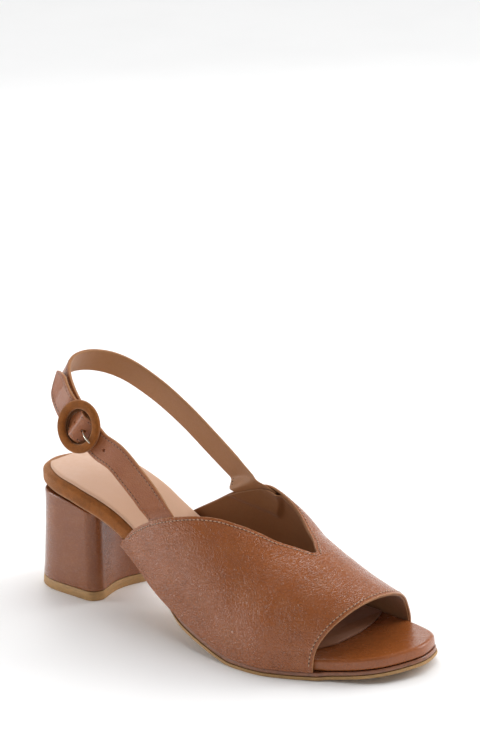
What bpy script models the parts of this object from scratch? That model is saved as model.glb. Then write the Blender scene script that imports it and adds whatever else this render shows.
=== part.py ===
"""Right slingback sandal with a covered block heel, an open toe and a V-cut vamp.

Frame: the origin is the centre of the heel's tread on the floor, +X points to the toe,
+Y to the medial side (the big toe's side) and +Z up. Sizes are in metres.
"""

import math

import bmesh
import bpy
import numpy as np

# Driving sizes of the last and the sole
SOLE_LENGTH = 0.2330
BALL_WIDTH = 0.0786
HEEL_RISE = 0.0485
TOE_SPRING = 0.0045
INSTEP_HEIGHT = 0.0580
HEEL_SEAT_REACH = 0.0225

# Thicknesses of the layers, from the floor up, and the running gap between pieces
GAP = 0.0003
OUTSOLE_THICKNESS = 0.0016
MIDSOLE_THICKNESS = 0.0018
FOOTBED_REAR_THICKNESS = 0.0095
FOOTBED_TOE_THICKNESS = 0.0055
SOCK_THICKNESS = 0.0012
SOCK_MARGIN = 0.0023
SOCK_HEEL_MARGIN = 0.0042

# Heel
HEEL_TIP_THICKNESS = 0.0048
HEEL_LENGTH = 0.0485
HEEL_WIDTH = 0.5547 * BALL_WIDTH
HEEL_FLARE = 0.0052
HEEL_CORNER = 0.0065
BREAST_HOLLOW = 0.0038

# Leather of the upper
OUTER_LEATHER = 0.0011
LINING = 0.0008
POCKET_LINING = 0.0008
VAMP_WALL = OUTER_LEATHER + LINING

# Straps
STRAP_WIDTH = 0.0142
STRAP_THICKNESS = 0.0017
STRAP_SKIVED = 0.0010
STRAP_ROOT = 0.0140
TAIL_POINT = 0.0090
HOLE_DIAMETER = 0.0020
HOLE_PITCH = 0.0075

# Buckle
RING_OUTER = 0.0264
RING_INNER = 0.0174
RING_THICKNESS = 0.0032
BAR_DIAMETER = 0.0014
PRONG_DIAMETER = 0.0012

# Places along the sole, as shares of its length
SPLIT_SHARE = 0.290
SPLIT_LEAN = 0.040
SOCK_END_SHARE = 0.870
SOCK_HEEL_FADE = 0.120
OUTSOLE_START = 0.172
WAIST_SHARE = 0.330
TREAD_SHARE = 0.540
NOTCH_FEATHER = 0.690
NOTCH_DEPTH = 0.0095
FEATHER_LEAD = 0.006
CENTRE_GIRTH = 0.532
TOE_EDGE_FADE = 0.025
LATERAL_EXIT = 0.434
MEDIAL_EXIT = 0.4810

# Smaller sizes of the sole and the upper
WAIST_INSET = 0.0030
WAIST_BEVEL = 0.0120
PLATFORM_SHOW = 0.0006
RAND_ROUND = 0.0022
RAND_TUCK = 0.0038
PLATFORM_TUCK = 0.0012
PLATFORM_ROUND = 0.0016
HEEL_BACK = 0.0178
HEEL_MIDDLE = 0.0020
HEEL_LINE = -0.0035
SIDE_SLACK = 0.0002
SWELL_MARGIN = 0.0045
SWELL_FADE = 0.0030
POCKET_MOUTH = 0.0140
LATERAL_SLOPE = math.radians(41)
MEDIAL_SLOPE = math.radians(22)
MEDIAL_SKIVE_DELAY = 0.0105

# Smaller sizes of the straps and the buckle
SLING_NARROWER = 0.0006
TAIL_TIP = 0.0018
BLEND_START = 0.0018
BLEND_LENGTH = 0.0052
BAR_SKIVED = 0.0008
BAR_SKIVE_LENGTH = 0.0130
BAR_LEVEL = -0.00235
BAR_END_MARGIN = 0.0020
PRONG_HOLE = 0.0040
CUTTER_MARGIN = 0.0120
CUTTER_HEIGHT = 0.0300

# How fine the meshes are
REAR_STATIONS = 22
NOTCH_STATIONS = 4
FRONT_STATIONS = 10
RINGS = [k / 11 for k in range(12)]
ROOT_STATIONS = 6

# Place and tilt of the buckle's ring and of the loop that the straps make
RING_CENTRE = np.array([0.0279, -0.4262 * BALL_WIDTH, 0.0957])
LOOP_SLOPE = math.radians(31)
RING_LEAN = 15.0
RING_TURN = math.radians(3.5)
LOOP_ALONG = np.array([math.cos(LOOP_SLOPE), 0.0, -math.sin(LOOP_SLOPE)])
LOOP_UP = np.array([math.sin(LOOP_SLOPE), 0.0, math.cos(LOOP_SLOPE)])
LOOP_IN = np.array([0.0, 1.0, 0.0])
RING_ALONG = math.cos(RING_TURN) * LOOP_ALONG - math.sin(RING_TURN) * LOOP_IN
RING_LEVEL = math.cos(RING_TURN) * LOOP_IN + math.sin(RING_TURN) * LOOP_ALONG
RING_TILT = math.radians(RING_LEAN)
RING_ACROSS = math.cos(RING_TILT) * LOOP_UP + math.sin(RING_TILT) * RING_LEVEL
RING_OUT = np.cross(RING_ALONG, RING_ACROSS)

# Free route of the buckle strap up to the ring, a row for each bend: x, y as a share of the ball width,
# z, lean inward in degrees
LATERAL_ROUTE = [
    (0.0708, -0.3919, 0.0668, 17.0),
    (0.0608, -0.3969, 0.0757, 16.5),
    (0.0508, -0.4033, 0.0837, 16.0),
]

# Through the ring, a row for each bend: along the strap, out from the foot
THROUGH_RING = [
    (0.0150, -0.0030),
    (0.0085, -0.0030),
    (0.0064, -0.0027),
    (0.0048, -0.0021),
    (0.0032, -0.0009),
    (0.0016, 0.0002),
    (0.0000, 0.0006),
    (-0.0016, 0.0002),
    (-0.0032, -0.0009),
    (-0.0048, -0.0021),
    (-0.0064, -0.0027),
    (-0.0085, -0.0030),
]

# Tail beyond the ring, a row for each bend: along the loop's plane, y as a share of the ball width, up, lean
TAIL_ROUTE = [
    (-0.0135, -0.3791, -0.0002, 14.0),
    (-0.0180, -0.3639, 0.0002, 12.0),
    (-0.0235, -0.3359, 0.0008, 10.0),
    (-0.0290, -0.2926, 0.0015, 8.0),
    (-0.0338, -0.2417, 0.0020, 6.0),
]

# Sling strap from the medial side round the heel, a row for each bend: along, y as a share of the ball
# width, up, lean
SLING_ROUTE = [
    (0.0610, 0.3270, 0.0008, 9.0),
    (0.0500, 0.3448, 0.0000, 6.0),
    (0.0360, 0.3575, -0.0004, 4.0),
    (0.0180, 0.3562, 0.0002, 4.0),
    (0.0010, 0.3359, 0.0007, 3.0),
    (-0.0120, 0.3003, 0.0009, 2.0),
    (-0.0222, 0.2545, 0.0009, 1.0),
    (-0.0297, 0.1845, 0.0009, 0.0),
    (-0.0347, 0.0916, 0.0009, 0.0),
    (-0.0370, -0.0127, 0.0009, 1.0),
    (-0.0362, -0.1170, 0.0009, 3.0),
    (-0.0323, -0.1985, 0.0008, 6.0),
    (-0.0266, -0.2608, 0.0006, 9.0),
    (-0.0200, -0.3092, 0.0004, 12.0),
    (-0.0135, -0.3435, 0.0002, 14.0),
]

# Its end round the bar, a row for each bend: along the strap, out from the foot
ROUND_BAR = [
    (-0.0080, -0.0053),
    (-0.0044, -0.0044),
    (-0.0018, -0.0039),
    (0.0000, -0.00375),
    (0.0010, -0.0033),
    (0.0014, -0.00235),
    (0.0010, -0.0014),
    (0.0000, -0.00095),
    (-0.0008, -0.00110),
]

# Prong from the bar to the ring's front, a row for each bend: along the strap, out from the foot
PRONG_ROUTE = [
    (0.0000, -0.00075),
    (0.0018, -0.00070),
    (0.0036, -0.00010),
    (0.0058, 0.00130),
    (0.0080, 0.00235),
    (0.0102, 0.00255),
    (0.0120, 0.00255),
]

# Front edge of the sock in the toe opening, a row for each bend: y, x
SOCK_FRONT = [
    (-0.0500, 0.1560),
    (-0.0300, 0.1640),
    (-0.0175, 0.1690),
    (-0.0092, 0.1714),
    (0.0029, 0.1712),
    (0.0153, 0.1692),
    (0.0263, 0.1660),
    (0.0350, 0.1618),
    (0.0500, 0.1540),
]

# Footbed's underside, a row for each station along the sole:
# share of the length, share of the heel rise, share of the toe spring
PROFILE = [
    (0.000, 1.000, 0.0),
    (0.060, 0.995, 0.0),
    (0.130, 0.965, 0.0),
    (0.185, 0.905, 0.0),
    (0.240, 0.822, 0.0),
    (0.290, 0.708, 0.0),
    (0.352, 0.560, 0.0),
    (0.420, 0.400, 0.0),
    (0.480, 0.268, 0.0),
    (0.537, 0.165, 0.0),
    (0.590, 0.084, 0.0),
    (0.640, 0.024, 0.0),
    (0.670, 0.000, 0.0),
    (0.800, 0.000, 0.0),
    (0.850, 0.000, 0.07),
    (0.910, 0.000, 0.35),
    (1.000, 0.000, 1.00),
]

# Footbed's outline from above, a row for each line across it: lateral share of the length,
# lateral share of the ball width, medial share of the length, medial share of the ball width
OUTLINE = [
    (0.000, -0.045, 0.000, -0.045),
    (0.006, -0.127, 0.006, 0.038),
    (0.020, -0.206, 0.020, 0.116),
    (0.048, -0.272, 0.048, 0.182),
    (0.095, -0.328, 0.095, 0.224),
    (0.161, -0.350, 0.161, 0.240),
    (0.230, -0.340, 0.230, 0.233),
    (0.290, -0.335, 0.294, 0.220),
    (0.354, -0.369, 0.363, 0.228),
    (0.431, -0.433, 0.440, 0.292),
    (0.517, -0.474, 0.530, 0.382),
    (0.603, -0.510, 0.616, 0.438),
    (0.680, -0.533, 0.697, 0.462),
    (0.745, -0.522, 0.766, 0.468),
    (0.796, -0.465, 0.822, 0.455),
    (0.848, -0.390, 0.873, 0.433),
    (0.899, -0.321, 0.916, 0.392),
    (0.946, -0.238, 0.955, 0.338),
    (0.979, -0.122, 0.983, 0.256),
    (1.000, 0.077, 1.000, 0.077),
]

# Sections of the last under the upper, a row for each: share of the length, crown height as a share of
# the instep height, crown's medial shift as a share of the ball width, squareness of each side
SECTIONS = [
    (0.280, 0.93, 0.020, 2.9, 2.9),
    (0.420, 1.00, 0.030, 2.9, 3.0),
    (0.515, 1.01, 0.055, 2.8, 3.4),
    (0.600, 0.955, 0.052, 2.5, 3.2),
    (0.680, 0.815, 0.037, 2.3, 2.55),
    (0.750, 0.725, 0.028, 2.3, 2.1),
    (0.805, 0.650, 0.025, 2.4, 1.95),
    (0.870, 0.565, 0.021, 2.5, 1.90),
    (0.905, 0.515, 0.018, 2.5, 1.90),
    (0.940, 0.460, 0.016, 2.5, 1.90),
]

# Upper edges of the two vamp panels, a row for each: share of the length, share of the last's girth
LATERAL_TOPLINE = [
    (0.308, 0.016),
    (0.348, 0.115),
    (0.400, 0.200),
    (0.442, 0.254),
    (0.478, 0.291),
    (0.529, 0.336),
    (0.566, 0.369),
    (0.604, 0.398),
    (0.631, 0.423),
    (0.669, 0.463),
    (0.724, 0.5165),
]
MEDIAL_TOPLINE = [
    (0.302, 0.982),
    (0.337, 0.917),
    (0.376, 0.853),
    (0.438, 0.760),
    (0.485, 0.709),
    (0.519, 0.677),
    (0.555, 0.655),
    (0.588, 0.642),
    (0.626, 0.628),
    (0.658, 0.615),
    (0.695, 0.589),
    (0.724, 0.5490),
]

# Edge of the toe opening, a row for each: share of the girth, share of the length
TOE_EDGE = [
    (0.00, 0.853),
    (0.05, 0.854),
    (0.10, 0.858),
    (0.15, 0.866),
    (0.21, 0.878),
    (0.29, 0.893),
    (0.37, 0.902),
    (0.45, 0.906),
    (0.54, 0.908),
    (0.62, 0.905),
    (0.70, 0.896),
    (0.79, 0.882),
    (0.87, 0.871),
    (0.93, 0.867),
    (1.00, 0.861),
]


def between(rows, share, column=1):
    """Smooth reading of a table's column, with no overshoot between its rows."""
    xs = np.array([row[0] for row in rows], float)
    ys = np.array([row[column] for row in rows], float)
    steps = np.diff(xs)
    slopes = np.diff(ys) / steps
    tangents = np.zeros(len(xs))
    tangents[0], tangents[-1] = slopes[0], slopes[-1]
    for i in range(1, len(xs) - 1):
        if slopes[i - 1] * slopes[i] > 0:
            w1 = 2 * steps[i] + steps[i - 1]
            w2 = steps[i] + 2 * steps[i - 1]
            tangents[i] = (w1 + w2) / (w1 / slopes[i - 1] + w2 / slopes[i])
    share = min(max(share, xs[0]), xs[-1])
    i = int(min(max(np.searchsorted(xs, share) - 1, 0), len(steps) - 1))
    t = (share - xs[i]) / steps[i]
    return (
        (1 + 2 * t) * (1 - t) ** 2 * ys[i]
        + t * (1 - t) ** 2 * steps[i] * tangents[i]
        + t * t * (3 - 2 * t) * ys[i + 1]
        + t * t * (t - 1) * steps[i] * tangents[i + 1]
    )


def smoothstep(value):
    value = min(max(value, 0.0), 1.0)
    return value * value * (3 - 2 * value)


def unit(vector):
    return vector / np.linalg.norm(vector)


BALL_LEVEL = OUTSOLE_THICKNESS + MIDSOLE_THICKNESS + 2 * GAP


def base_height(share):
    """Height of the footbed's underside above the floor."""
    return BALL_LEVEL + HEEL_RISE * between(PROFILE, share, 1) + TOE_SPRING * between(PROFILE, share, 2)


def x_of(share):
    return share * SOLE_LENGTH - HEEL_SEAT_REACH


def share_of(x):
    return (x + HEEL_SEAT_REACH) / SOLE_LENGTH


def place(share, y, rise):
    """Point at a share of the length, y across, and a rise square to the footbed's underside."""
    step = 0.002
    middle = min(max(share, step), 1 - step)
    low, high = middle - step, middle + step
    run = (high - low) * SOLE_LENGTH
    fall = base_height(high) - base_height(low)
    size = math.hypot(run, fall)
    return np.array([x_of(share) - rise * fall / size, y, base_height(share) + rise * run / size])


def smooth_through(points, at):
    """Catmull-Rom curve through numbered points, read at a fractional number."""
    i = int(min(max(math.floor(at), 1), len(points) - 3))
    t = at - i
    a, b, c, d = (np.array(points[k], float) for k in (i - 1, i, i + 1, i + 2))
    return 0.5 * (2 * b + (c - a) * t + (2 * a - 5 * b + 4 * c - d) * t * t + (3 * b - a - 3 * c + d) * t**3)


LAST_ROW = len(OUTLINE) - 1


def outline_pair(at):
    """(share, y) of the outline's lateral and medial points on the line across numbered `at`."""
    lateral = [(row[0], row[1] * BALL_WIDTH) for row in OUTLINE]
    medial = [(row[2], row[3] * BALL_WIDTH) for row in OUTLINE]
    left = [medial[1], *lateral, medial[-2]]
    right = [lateral[1], *medial, lateral[-2]]
    return smooth_through(left, at + 1), smooth_through(right, at + 1)


def inset_point(at, side, inset):
    """The outline's point on a line across, moved square to the outline by `inset`, inwards if positive."""
    step = 0.03
    low, high = max(at - step, 0.0), min(at + step, float(LAST_ROW))
    here = outline_pair(at)[side]
    run = (outline_pair(high)[side] - outline_pair(low)[side]) * np.array([SOLE_LENGTH, 1.0])
    if at < step or at > LAST_ROW - step:
        run = np.array([0.0, (1.0 if side else -1.0) * (1.0 if at < step else -1.0)])
    run = unit(run)
    inward = np.array([run[1], -run[0]]) if side else np.array([-run[1], run[0]])
    return here[0] + inset * inward[0] / SOLE_LENGTH, here[1] + inset * inward[1]


def row_at(share):
    """Number of the line across whose middle lies at this share of the length."""
    low, high = 0.0, float(LAST_ROW)
    for _ in range(30):
        middle = (low + high) / 2
        left, right = outline_pair(middle)
        low, high = (middle, high) if (left[0] + right[0]) / 2 < share else (low, middle)
    return (low + high) / 2


# The upper's foot stands just outside the footbed's side
UPPER_REACH = VAMP_WALL + GAP + SIDE_SLACK
SIDE_LINES = [k * LAST_ROW / 160 for k in range(161)]
LATERAL_SIDE = np.array([inset_point(at, 0, -UPPER_REACH) for at in SIDE_LINES])
MEDIAL_SIDE = np.array([inset_point(at, 1, -UPPER_REACH) for at in SIDE_LINES])


def section(share):
    """The last's section at a share of the length: its points from the lateral feather over the crown."""
    lateral = np.interp(share, LATERAL_SIDE[:, 0], LATERAL_SIDE[:, 1])
    medial = np.interp(share, MEDIAL_SIDE[:, 0], MEDIAL_SIDE[:, 1])
    height = INSTEP_HEIGHT * between(SECTIONS, share, 1)
    crown = BALL_WIDTH * between(SECTIONS, share, 2)
    squareness = between(SECTIONS, share, 3), between(SECTIONS, share, 4)
    angle = np.linspace(0.0, math.pi, 181)
    cosine, sine = np.cos(angle), np.abs(np.sin(angle))
    near = cosine > 0
    power = 2 / np.where(near, squareness[0], squareness[1])
    reach = np.where(near, lateral - crown, crown - medial)
    y = crown + reach * np.sign(cosine) * np.abs(cosine) ** power
    z = base_height(share) + height * sine**power
    return y, z


SECTION_SHARES = np.linspace(0.270, 0.950, 137)
SECTION_GIRTHS = np.linspace(0.0, 1.0, 121)


def section_rows():
    rows = []
    for share in SECTION_SHARES:
        y, z = section(share)
        run = np.concatenate([[0.0], np.cumsum(np.hypot(np.diff(y), np.diff(z)))])
        at = SECTION_GIRTHS * run[-1]
        x = np.full(len(at), x_of(share))
        rows.append(np.stack([x, np.interp(at, run, y), np.interp(at, run, z)], 1))
    return np.array(rows)


SECTION_GRID = section_rows()


def last_point(x, girth):
    """Point of the last's surface at x, a share of the girth round from the lateral feather."""
    i = (share_of(x) - SECTION_SHARES[0]) / (SECTION_SHARES[1] - SECTION_SHARES[0])
    j = girth * (len(SECTION_GIRTHS) - 1)
    i0 = int(min(max(math.floor(i), 0), len(SECTION_SHARES) - 2))
    j0 = int(min(max(math.floor(j), 0), len(SECTION_GIRTHS) - 2))
    a, b = i - i0, j - j0
    grid = SECTION_GRID
    low = grid[i0, j0] * (1 - b) + grid[i0, j0 + 1] * b
    high = grid[i0 + 1, j0] * (1 - b) + grid[i0 + 1, j0 + 1] * b
    return low * (1 - a) + high * a


def last_normal(x, girth):
    """Outward normal of the last's surface."""
    along = last_point(x + 0.0015, girth) - last_point(x - 0.0015, girth)
    low, high = max(girth - 0.01, 0.0), min(girth + 0.01, 1.0)
    across = last_point(x, high) - last_point(x, low)
    return unit(np.cross(along, across))


def girth_length(x):
    """Length of the last's whole section at x."""
    i = int(round((share_of(x) - SECTION_SHARES[0]) / (SECTION_SHARES[1] - SECTION_SHARES[0])))
    return float(np.linalg.norm(np.diff(SECTION_GRID[i], axis=0), axis=1).sum())


# Strap roots, sewn between leather and lining: where each leaves the topline, and its slope there
ROOTS = {
    "lateral": {
        "topline": LATERAL_TOPLINE,
        "share": LATERAL_EXIT,
        "girth": between(LATERAL_TOPLINE, LATERAL_EXIT),
        "up": 1.0,
        "slope": LATERAL_SLOPE,
    },
    "medial": {
        "topline": MEDIAL_TOPLINE,
        "share": MEDIAL_EXIT,
        "girth": between(MEDIAL_TOPLINE, MEDIAL_EXIT),
        "up": -1.0,
        "slope": MEDIAL_SLOPE,
    },
}
ROOT_DEPTH = OUTER_LEATHER + GAP + STRAP_SKIVED / 2
POCKET_EXTRA = ROOT_DEPTH + STRAP_SKIVED / 2 + GAP + POCKET_LINING - VAMP_WALL


def root_place(root, out, across):
    """(x, girth) a distance out along a strap from where it leaves the topline, and a distance across it."""
    x = x_of(root["share"]) - out * math.cos(root["slope"]) + across * math.sin(root["slope"])
    rise = out * math.sin(root["slope"]) + across * math.cos(root["slope"])
    rise += base_height(root["share"]) - base_height(share_of(x))
    return x, root["girth"] + root["up"] * rise / girth_length(x_of(root["share"]))


def root_point(root, out, across, depth):
    """Point of a strap's root, a depth under the last's surface."""
    x, girth = root_place(root, out, across)
    return last_point(x, girth) - depth * last_normal(x, girth)


def clear_of_topline(root, out, across):
    """How far a point of a strap lies above the upper's edge, measured round the last."""
    x, girth = root_place(root, out, across)
    edge = between(root["topline"], share_of(x))
    return root["up"] * (girth - edge) * girth_length(x_of(root["share"]))


def pocket_swell(x, girth):
    """Extra wall at a point of the upper, where it holds a strap's root."""
    most = 0.0
    for root in ROOTS.values():
        ahead = x - x_of(root["share"])
        rise = (girth - root["girth"]) * root["up"] * girth_length(x_of(root["share"]))
        rise -= base_height(root["share"]) - base_height(share_of(x))
        out = -ahead * math.cos(root["slope"]) + rise * math.sin(root["slope"])
        across = ahead * math.sin(root["slope"]) + rise * math.cos(root["slope"])
        along = smoothstep((out + STRAP_ROOT + SWELL_MARGIN) / SWELL_FADE)
        beside = smoothstep((STRAP_WIDTH / 2 + SWELL_MARGIN - abs(across)) / SWELL_FADE)
        most = max(most, POCKET_EXTRA * along * beside)
    return most


def material(name, colour, roughness, metallic=0.0):
    made = bpy.data.materials.new(name)
    made.use_nodes = True
    shader = made.node_tree.nodes["Principled BSDF"]
    shader.inputs["Base Color"].default_value = (*colour, 1.0)
    shader.inputs["Roughness"].default_value = roughness
    shader.inputs["Metallic"].default_value = metallic
    return made


def solid(name, points, faces, look):
    """A closed mesh object with welded corners and outward faces, the heel's line moved onto the origin."""
    mesh = bpy.data.meshes.new(name)
    mesh.from_pydata([(float(x), float(y) - HEEL_LINE, float(z)) for x, y, z in points], [], faces)
    form = bmesh.new()
    form.from_mesh(mesh)
    bmesh.ops.remove_doubles(form, verts=form.verts, dist=1e-6)
    bmesh.ops.dissolve_degenerate(form, edges=form.edges, dist=1e-7)
    bmesh.ops.recalc_face_normals(form, faces=form.faces)
    form.to_mesh(mesh)
    form.free()
    made = bpy.data.objects.new(name, mesh)
    bpy.context.scene.collection.objects.link(made)
    mesh.materials.append(look)
    mesh.shade_smooth()
    mesh.set_sharp_from_angle(angle=math.radians(35))
    return made


def as_cutter(guide):
    guide.hide_render = True
    guide.display_type = "WIRE"
    return guide


def cut(piece, cutter):
    """Take a hidden guide's volume out of a piece."""
    change = piece.modifiers.new("cut " + cutter.name, "BOOLEAN")
    change.operation = "DIFFERENCE"
    change.object = as_cutter(cutter)


def value_at(value, share):
    return value(share) if callable(value) else value


def sole_layer(name, look, start, end, rings, lines):
    """A layer of the sole between two shares of the length. Each ring from the lowest to the highest is
    (inset from the outline, rise over the footbed's underside); either may follow the share."""
    points, faces = [], []
    for inset, rise in rings:
        low, high = (row_at(value_at(limit, value_at(rise, 0.3))) for limit in (start, end))
        ats = [low + (high - low) * k / (lines - 1) for k in range(lines)]
        for side in (0, 1):
            for at in ats:
                here = outline_pair(at)[side][0]
                share, y = inset_point(at, side, value_at(inset, here))
                points.append(place(share, y, value_at(rise, here)))
    ring = 2 * lines
    for r in range(len(rings) - 1):
        low, high = r * ring, (r + 1) * ring
        for k in range(lines - 1):
            faces.append((low + k, low + k + 1, high + k + 1, high + k))
            faces.append((low + lines + k + 1, low + lines + k, high + lines + k, high + lines + k + 1))
        for k in (0, lines - 1):
            faces.append((low + k, low + lines + k, high + lines + k, high + k))
    for low in (0, (len(rings) - 1) * ring):
        for k in range(lines - 1):
            faces.append((low + k, low + k + 1, low + lines + k + 1, low + lines + k))
    return solid(name, points, faces, look)


def footbed_thickness(share):
    rows = [(0.0, FOOTBED_REAR_THICKNESS), (0.37, FOOTBED_REAR_THICKNESS)]
    rows += [(0.64, FOOTBED_TOE_THICKNESS), (1.0, FOOTBED_TOE_THICKNESS)]
    return between(rows, share)


def split_at(rise):
    """Share of the length where the footbed's two covers meet, leaning forward with the rise."""
    return SPLIT_SHARE + SPLIT_LEAN * rise / FOOTBED_REAR_THICKNESS


def waist(share):
    """1 at the sole's waist behind the vamp, 0 under the ball and the toe."""
    return 1 - smoothstep((share - WAIST_SHARE) / (TREAD_SHARE - WAIST_SHARE))


def sole_side(share):
    """Inset of the sole's side: under the rand at the waist, flush with the upper, then with the toe."""
    past_toe_edge = smoothstep((share - TOE_EDGE[0][1]) / TOE_EDGE_FADE)
    reach = UPPER_REACH + (PLATFORM_SHOW - UPPER_REACH) * past_toe_edge
    return -reach + (reach + WAIST_INSET) * waist(share)


def footbed_rings(thickness, roundness, tuck):
    """Rings of a footbed cover: tucked in below, rounded above."""
    rings = []
    for angle in (0, 45, 90):
        turn = math.radians(angle)
        rings.append((tuck * (1 - math.sin(turn)), lambda share, turn=turn: tuck * (1 - math.cos(turn))))
    for angle in (0, 30, 60, 90):
        turn = math.radians(angle)
        drop = roundness * (1 - math.sin(turn))
        rings.append((roundness * (1 - math.cos(turn)), lambda share, drop=drop: thickness(share) - drop))
    return rings


def heel_ring(height, grow=0.0):
    """The heel's outline at a height: a rounded back, two sides, two corners and a hollow breast."""
    flare = HEEL_FLARE * min(max(1 - height / HEEL_RISE, 0.0), 1.0) ** 1.4
    half = HEEL_WIDTH / 2 + 0.2 * flare + grow
    back = HEEL_BACK + flare + grow
    front = HEEL_LENGTH - HEEL_BACK - HEEL_FLARE + grow
    inner = half - HEEL_CORNER
    half_ring = []
    for y in np.linspace(0.0, inner, 7)[:-1]:
        half_ring.append((front - BREAST_HOLLOW * math.cos(math.pi / 2 * y / inner) ** 1.2, y))
    for k in range(6):
        turn = math.pi / 2 * k / 5
        half_ring.append((front + HEEL_CORNER * (math.cos(turn) - 1), inner + HEEL_CORNER * math.sin(turn)))
    for k in range(15):
        turn = math.pi / 2 * k / 14
        x = HEEL_MIDDLE - (back + HEEL_MIDDLE) * math.sin(turn) ** 0.8
        half_ring.append((x, half * max(math.cos(turn), 0.0) ** 0.8))
    ring = half_ring + [(x, -y) for x, y in reversed(half_ring[1:-1])]
    return [(x, HEEL_LINE + y) for x, y in ring]


def heel_solid(name, look, heights, grow=0.0):
    rings = [heel_ring(height, grow) for height in heights]
    count = len(rings[0])
    points = [(x, y, z) for ring, z in zip(rings, heights) for x, y in ring]
    faces = [tuple(range(count)), tuple(range((len(rings) - 1) * count, len(rings) * count))]
    for r in range(len(rings) - 1):
        for k in range(count):
            n = (k + 1) % count
            faces.append((r * count + k, r * count + n, (r + 1) * count + n, (r + 1) * count + k))
    return solid(name, points, faces, look)


def panel(side):
    """Grid of (x, girth) over one vamp panel, from the rear corner to the toe and from the feather up."""
    rows = LATERAL_TOPLINE if side == "lateral" else MEDIAL_TOPLINE
    foot = 0.0 if side == "lateral" else 1.0
    last = rows[-1]
    stations = []
    for k in range(REAR_STATIONS):
        share = rows[0][0] + (last[0] - rows[0][0]) * k / REAR_STATIONS
        along = k / REAR_STATIONS
        feather = rows[0][0] - FEATHER_LEAD + (NOTCH_FEATHER - rows[0][0] + FEATHER_LEAD) * along
        stations.append((feather, share, between(rows, share)))
    for k in range(NOTCH_STATIONS + 1):
        turn = math.pi / 2 * k / NOTCH_STATIONS
        share = last[0] + NOTCH_DEPTH * math.sin(turn)
        girth = CENTRE_GIRTH + (last[1] - CENTRE_GIRTH) * math.cos(turn)
        stations.append((NOTCH_FEATHER + NOTCH_DEPTH * k / NOTCH_STATIONS, share, girth))
    notch_feather, notch_share = stations[-1][0], stations[-1][1]
    toe_feather, toe_share = between(TOE_EDGE, foot), between(TOE_EDGE, CENTRE_GIRTH)
    grid = []
    for feather, share, girth in stations:
        grid.append([(x_of(feather + (share - feather) * v), foot + (girth - foot) * v) for v in RINGS])
    for k in range(1, FRONT_STATIONS + 1):
        along = k / FRONT_STATIONS
        row = []
        for v in RINGS:
            girth = foot + (CENTRE_GIRTH - foot) * v
            feather = notch_feather + (toe_feather - notch_feather) * along
            share = notch_share + (toe_share - notch_share) * along
            straight = feather + (share - feather) * v
            toe_line = toe_feather + (toe_share - toe_feather) * v
            row.append((x_of(straight + (between(TOE_EDGE, girth) - toe_line) * along**2), girth))
        grid.append(row)
    return grid


def upper_mesh(name, look):
    """The hollow vamp: both panels' outer and inner skins and the rims between them."""
    points, faces = [], []
    for side in ("lateral", "medial"):
        grid = panel(side)
        wide, high = len(grid), len(RINGS)
        start = len(points)
        for skin in (0, 1):
            for row in grid:
                for x, girth in row:
                    depth = skin * (VAMP_WALL + pocket_swell(x, girth))
                    points.append(last_point(x, girth) - depth * last_normal(x, girth))
        inner = wide * high

        def corner(i, j, skin=0, start=start, high=high, inner=inner):
            return start + skin * inner + i * high + j

        for i in range(wide - 1):
            for j in range(high - 1):
                for skin in (0, 1):
                    around = ((i, j), (i + 1, j), (i + 1, j + 1), (i, j + 1))
                    faces.append(tuple(corner(*ij, skin) for ij in around))
            faces.append((corner(i, 0), corner(i + 1, 0), corner(i + 1, 0, 1), corner(i, 0, 1)))
            if i < REAR_STATIONS + NOTCH_STATIONS:
                top = high - 1
                faces.append((corner(i, top), corner(i + 1, top), corner(i + 1, top, 1), corner(i, top, 1)))
        for j in range(high - 1):
            for i in (0, wide - 1):
                faces.append((corner(i, j), corner(i, j + 1), corner(i, j + 1, 1), corner(i, j, 1)))
    return solid(name, points, faces, look)


def ring_point(along, across, out):
    """Point in the ring's frame: along the strap towards the toe, up across it, outward from the foot."""
    return RING_CENTRE + along * RING_ALONG + across * RING_ACROSS + out * RING_OUT


def loop_point(along, y, up=0.0):
    """Point of the loop's slanting plane: along it from the ring towards the toe, at a given y."""
    return RING_CENTRE + along * LOOP_ALONG + up * LOOP_UP + np.array([0.0, y - RING_CENTRE[1], 0.0])


def stepped_path(rows, spacing):
    """Lengths along a smooth curve through rows of position and lean, and the curve's rows there."""
    rows = [np.array(row, float) for row in rows]
    rows = [2 * rows[0] - rows[1], *rows, 2 * rows[-1] - rows[-2]]
    path = [rows[1]]
    for number in range(1, len(rows) - 2):
        steps = max(int(round(np.linalg.norm(rows[number + 1][:3] - rows[number][:3]) / spacing)), 1)
        path += [smooth_through(rows, number + k / steps) for k in range(1, steps)] + [rows[number + 1]]
    path = np.array(path)
    lengths = np.concatenate([[0.0], np.cumsum(np.linalg.norm(np.diff(path[:, :3], axis=0), axis=1))])
    return lengths, path


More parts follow.
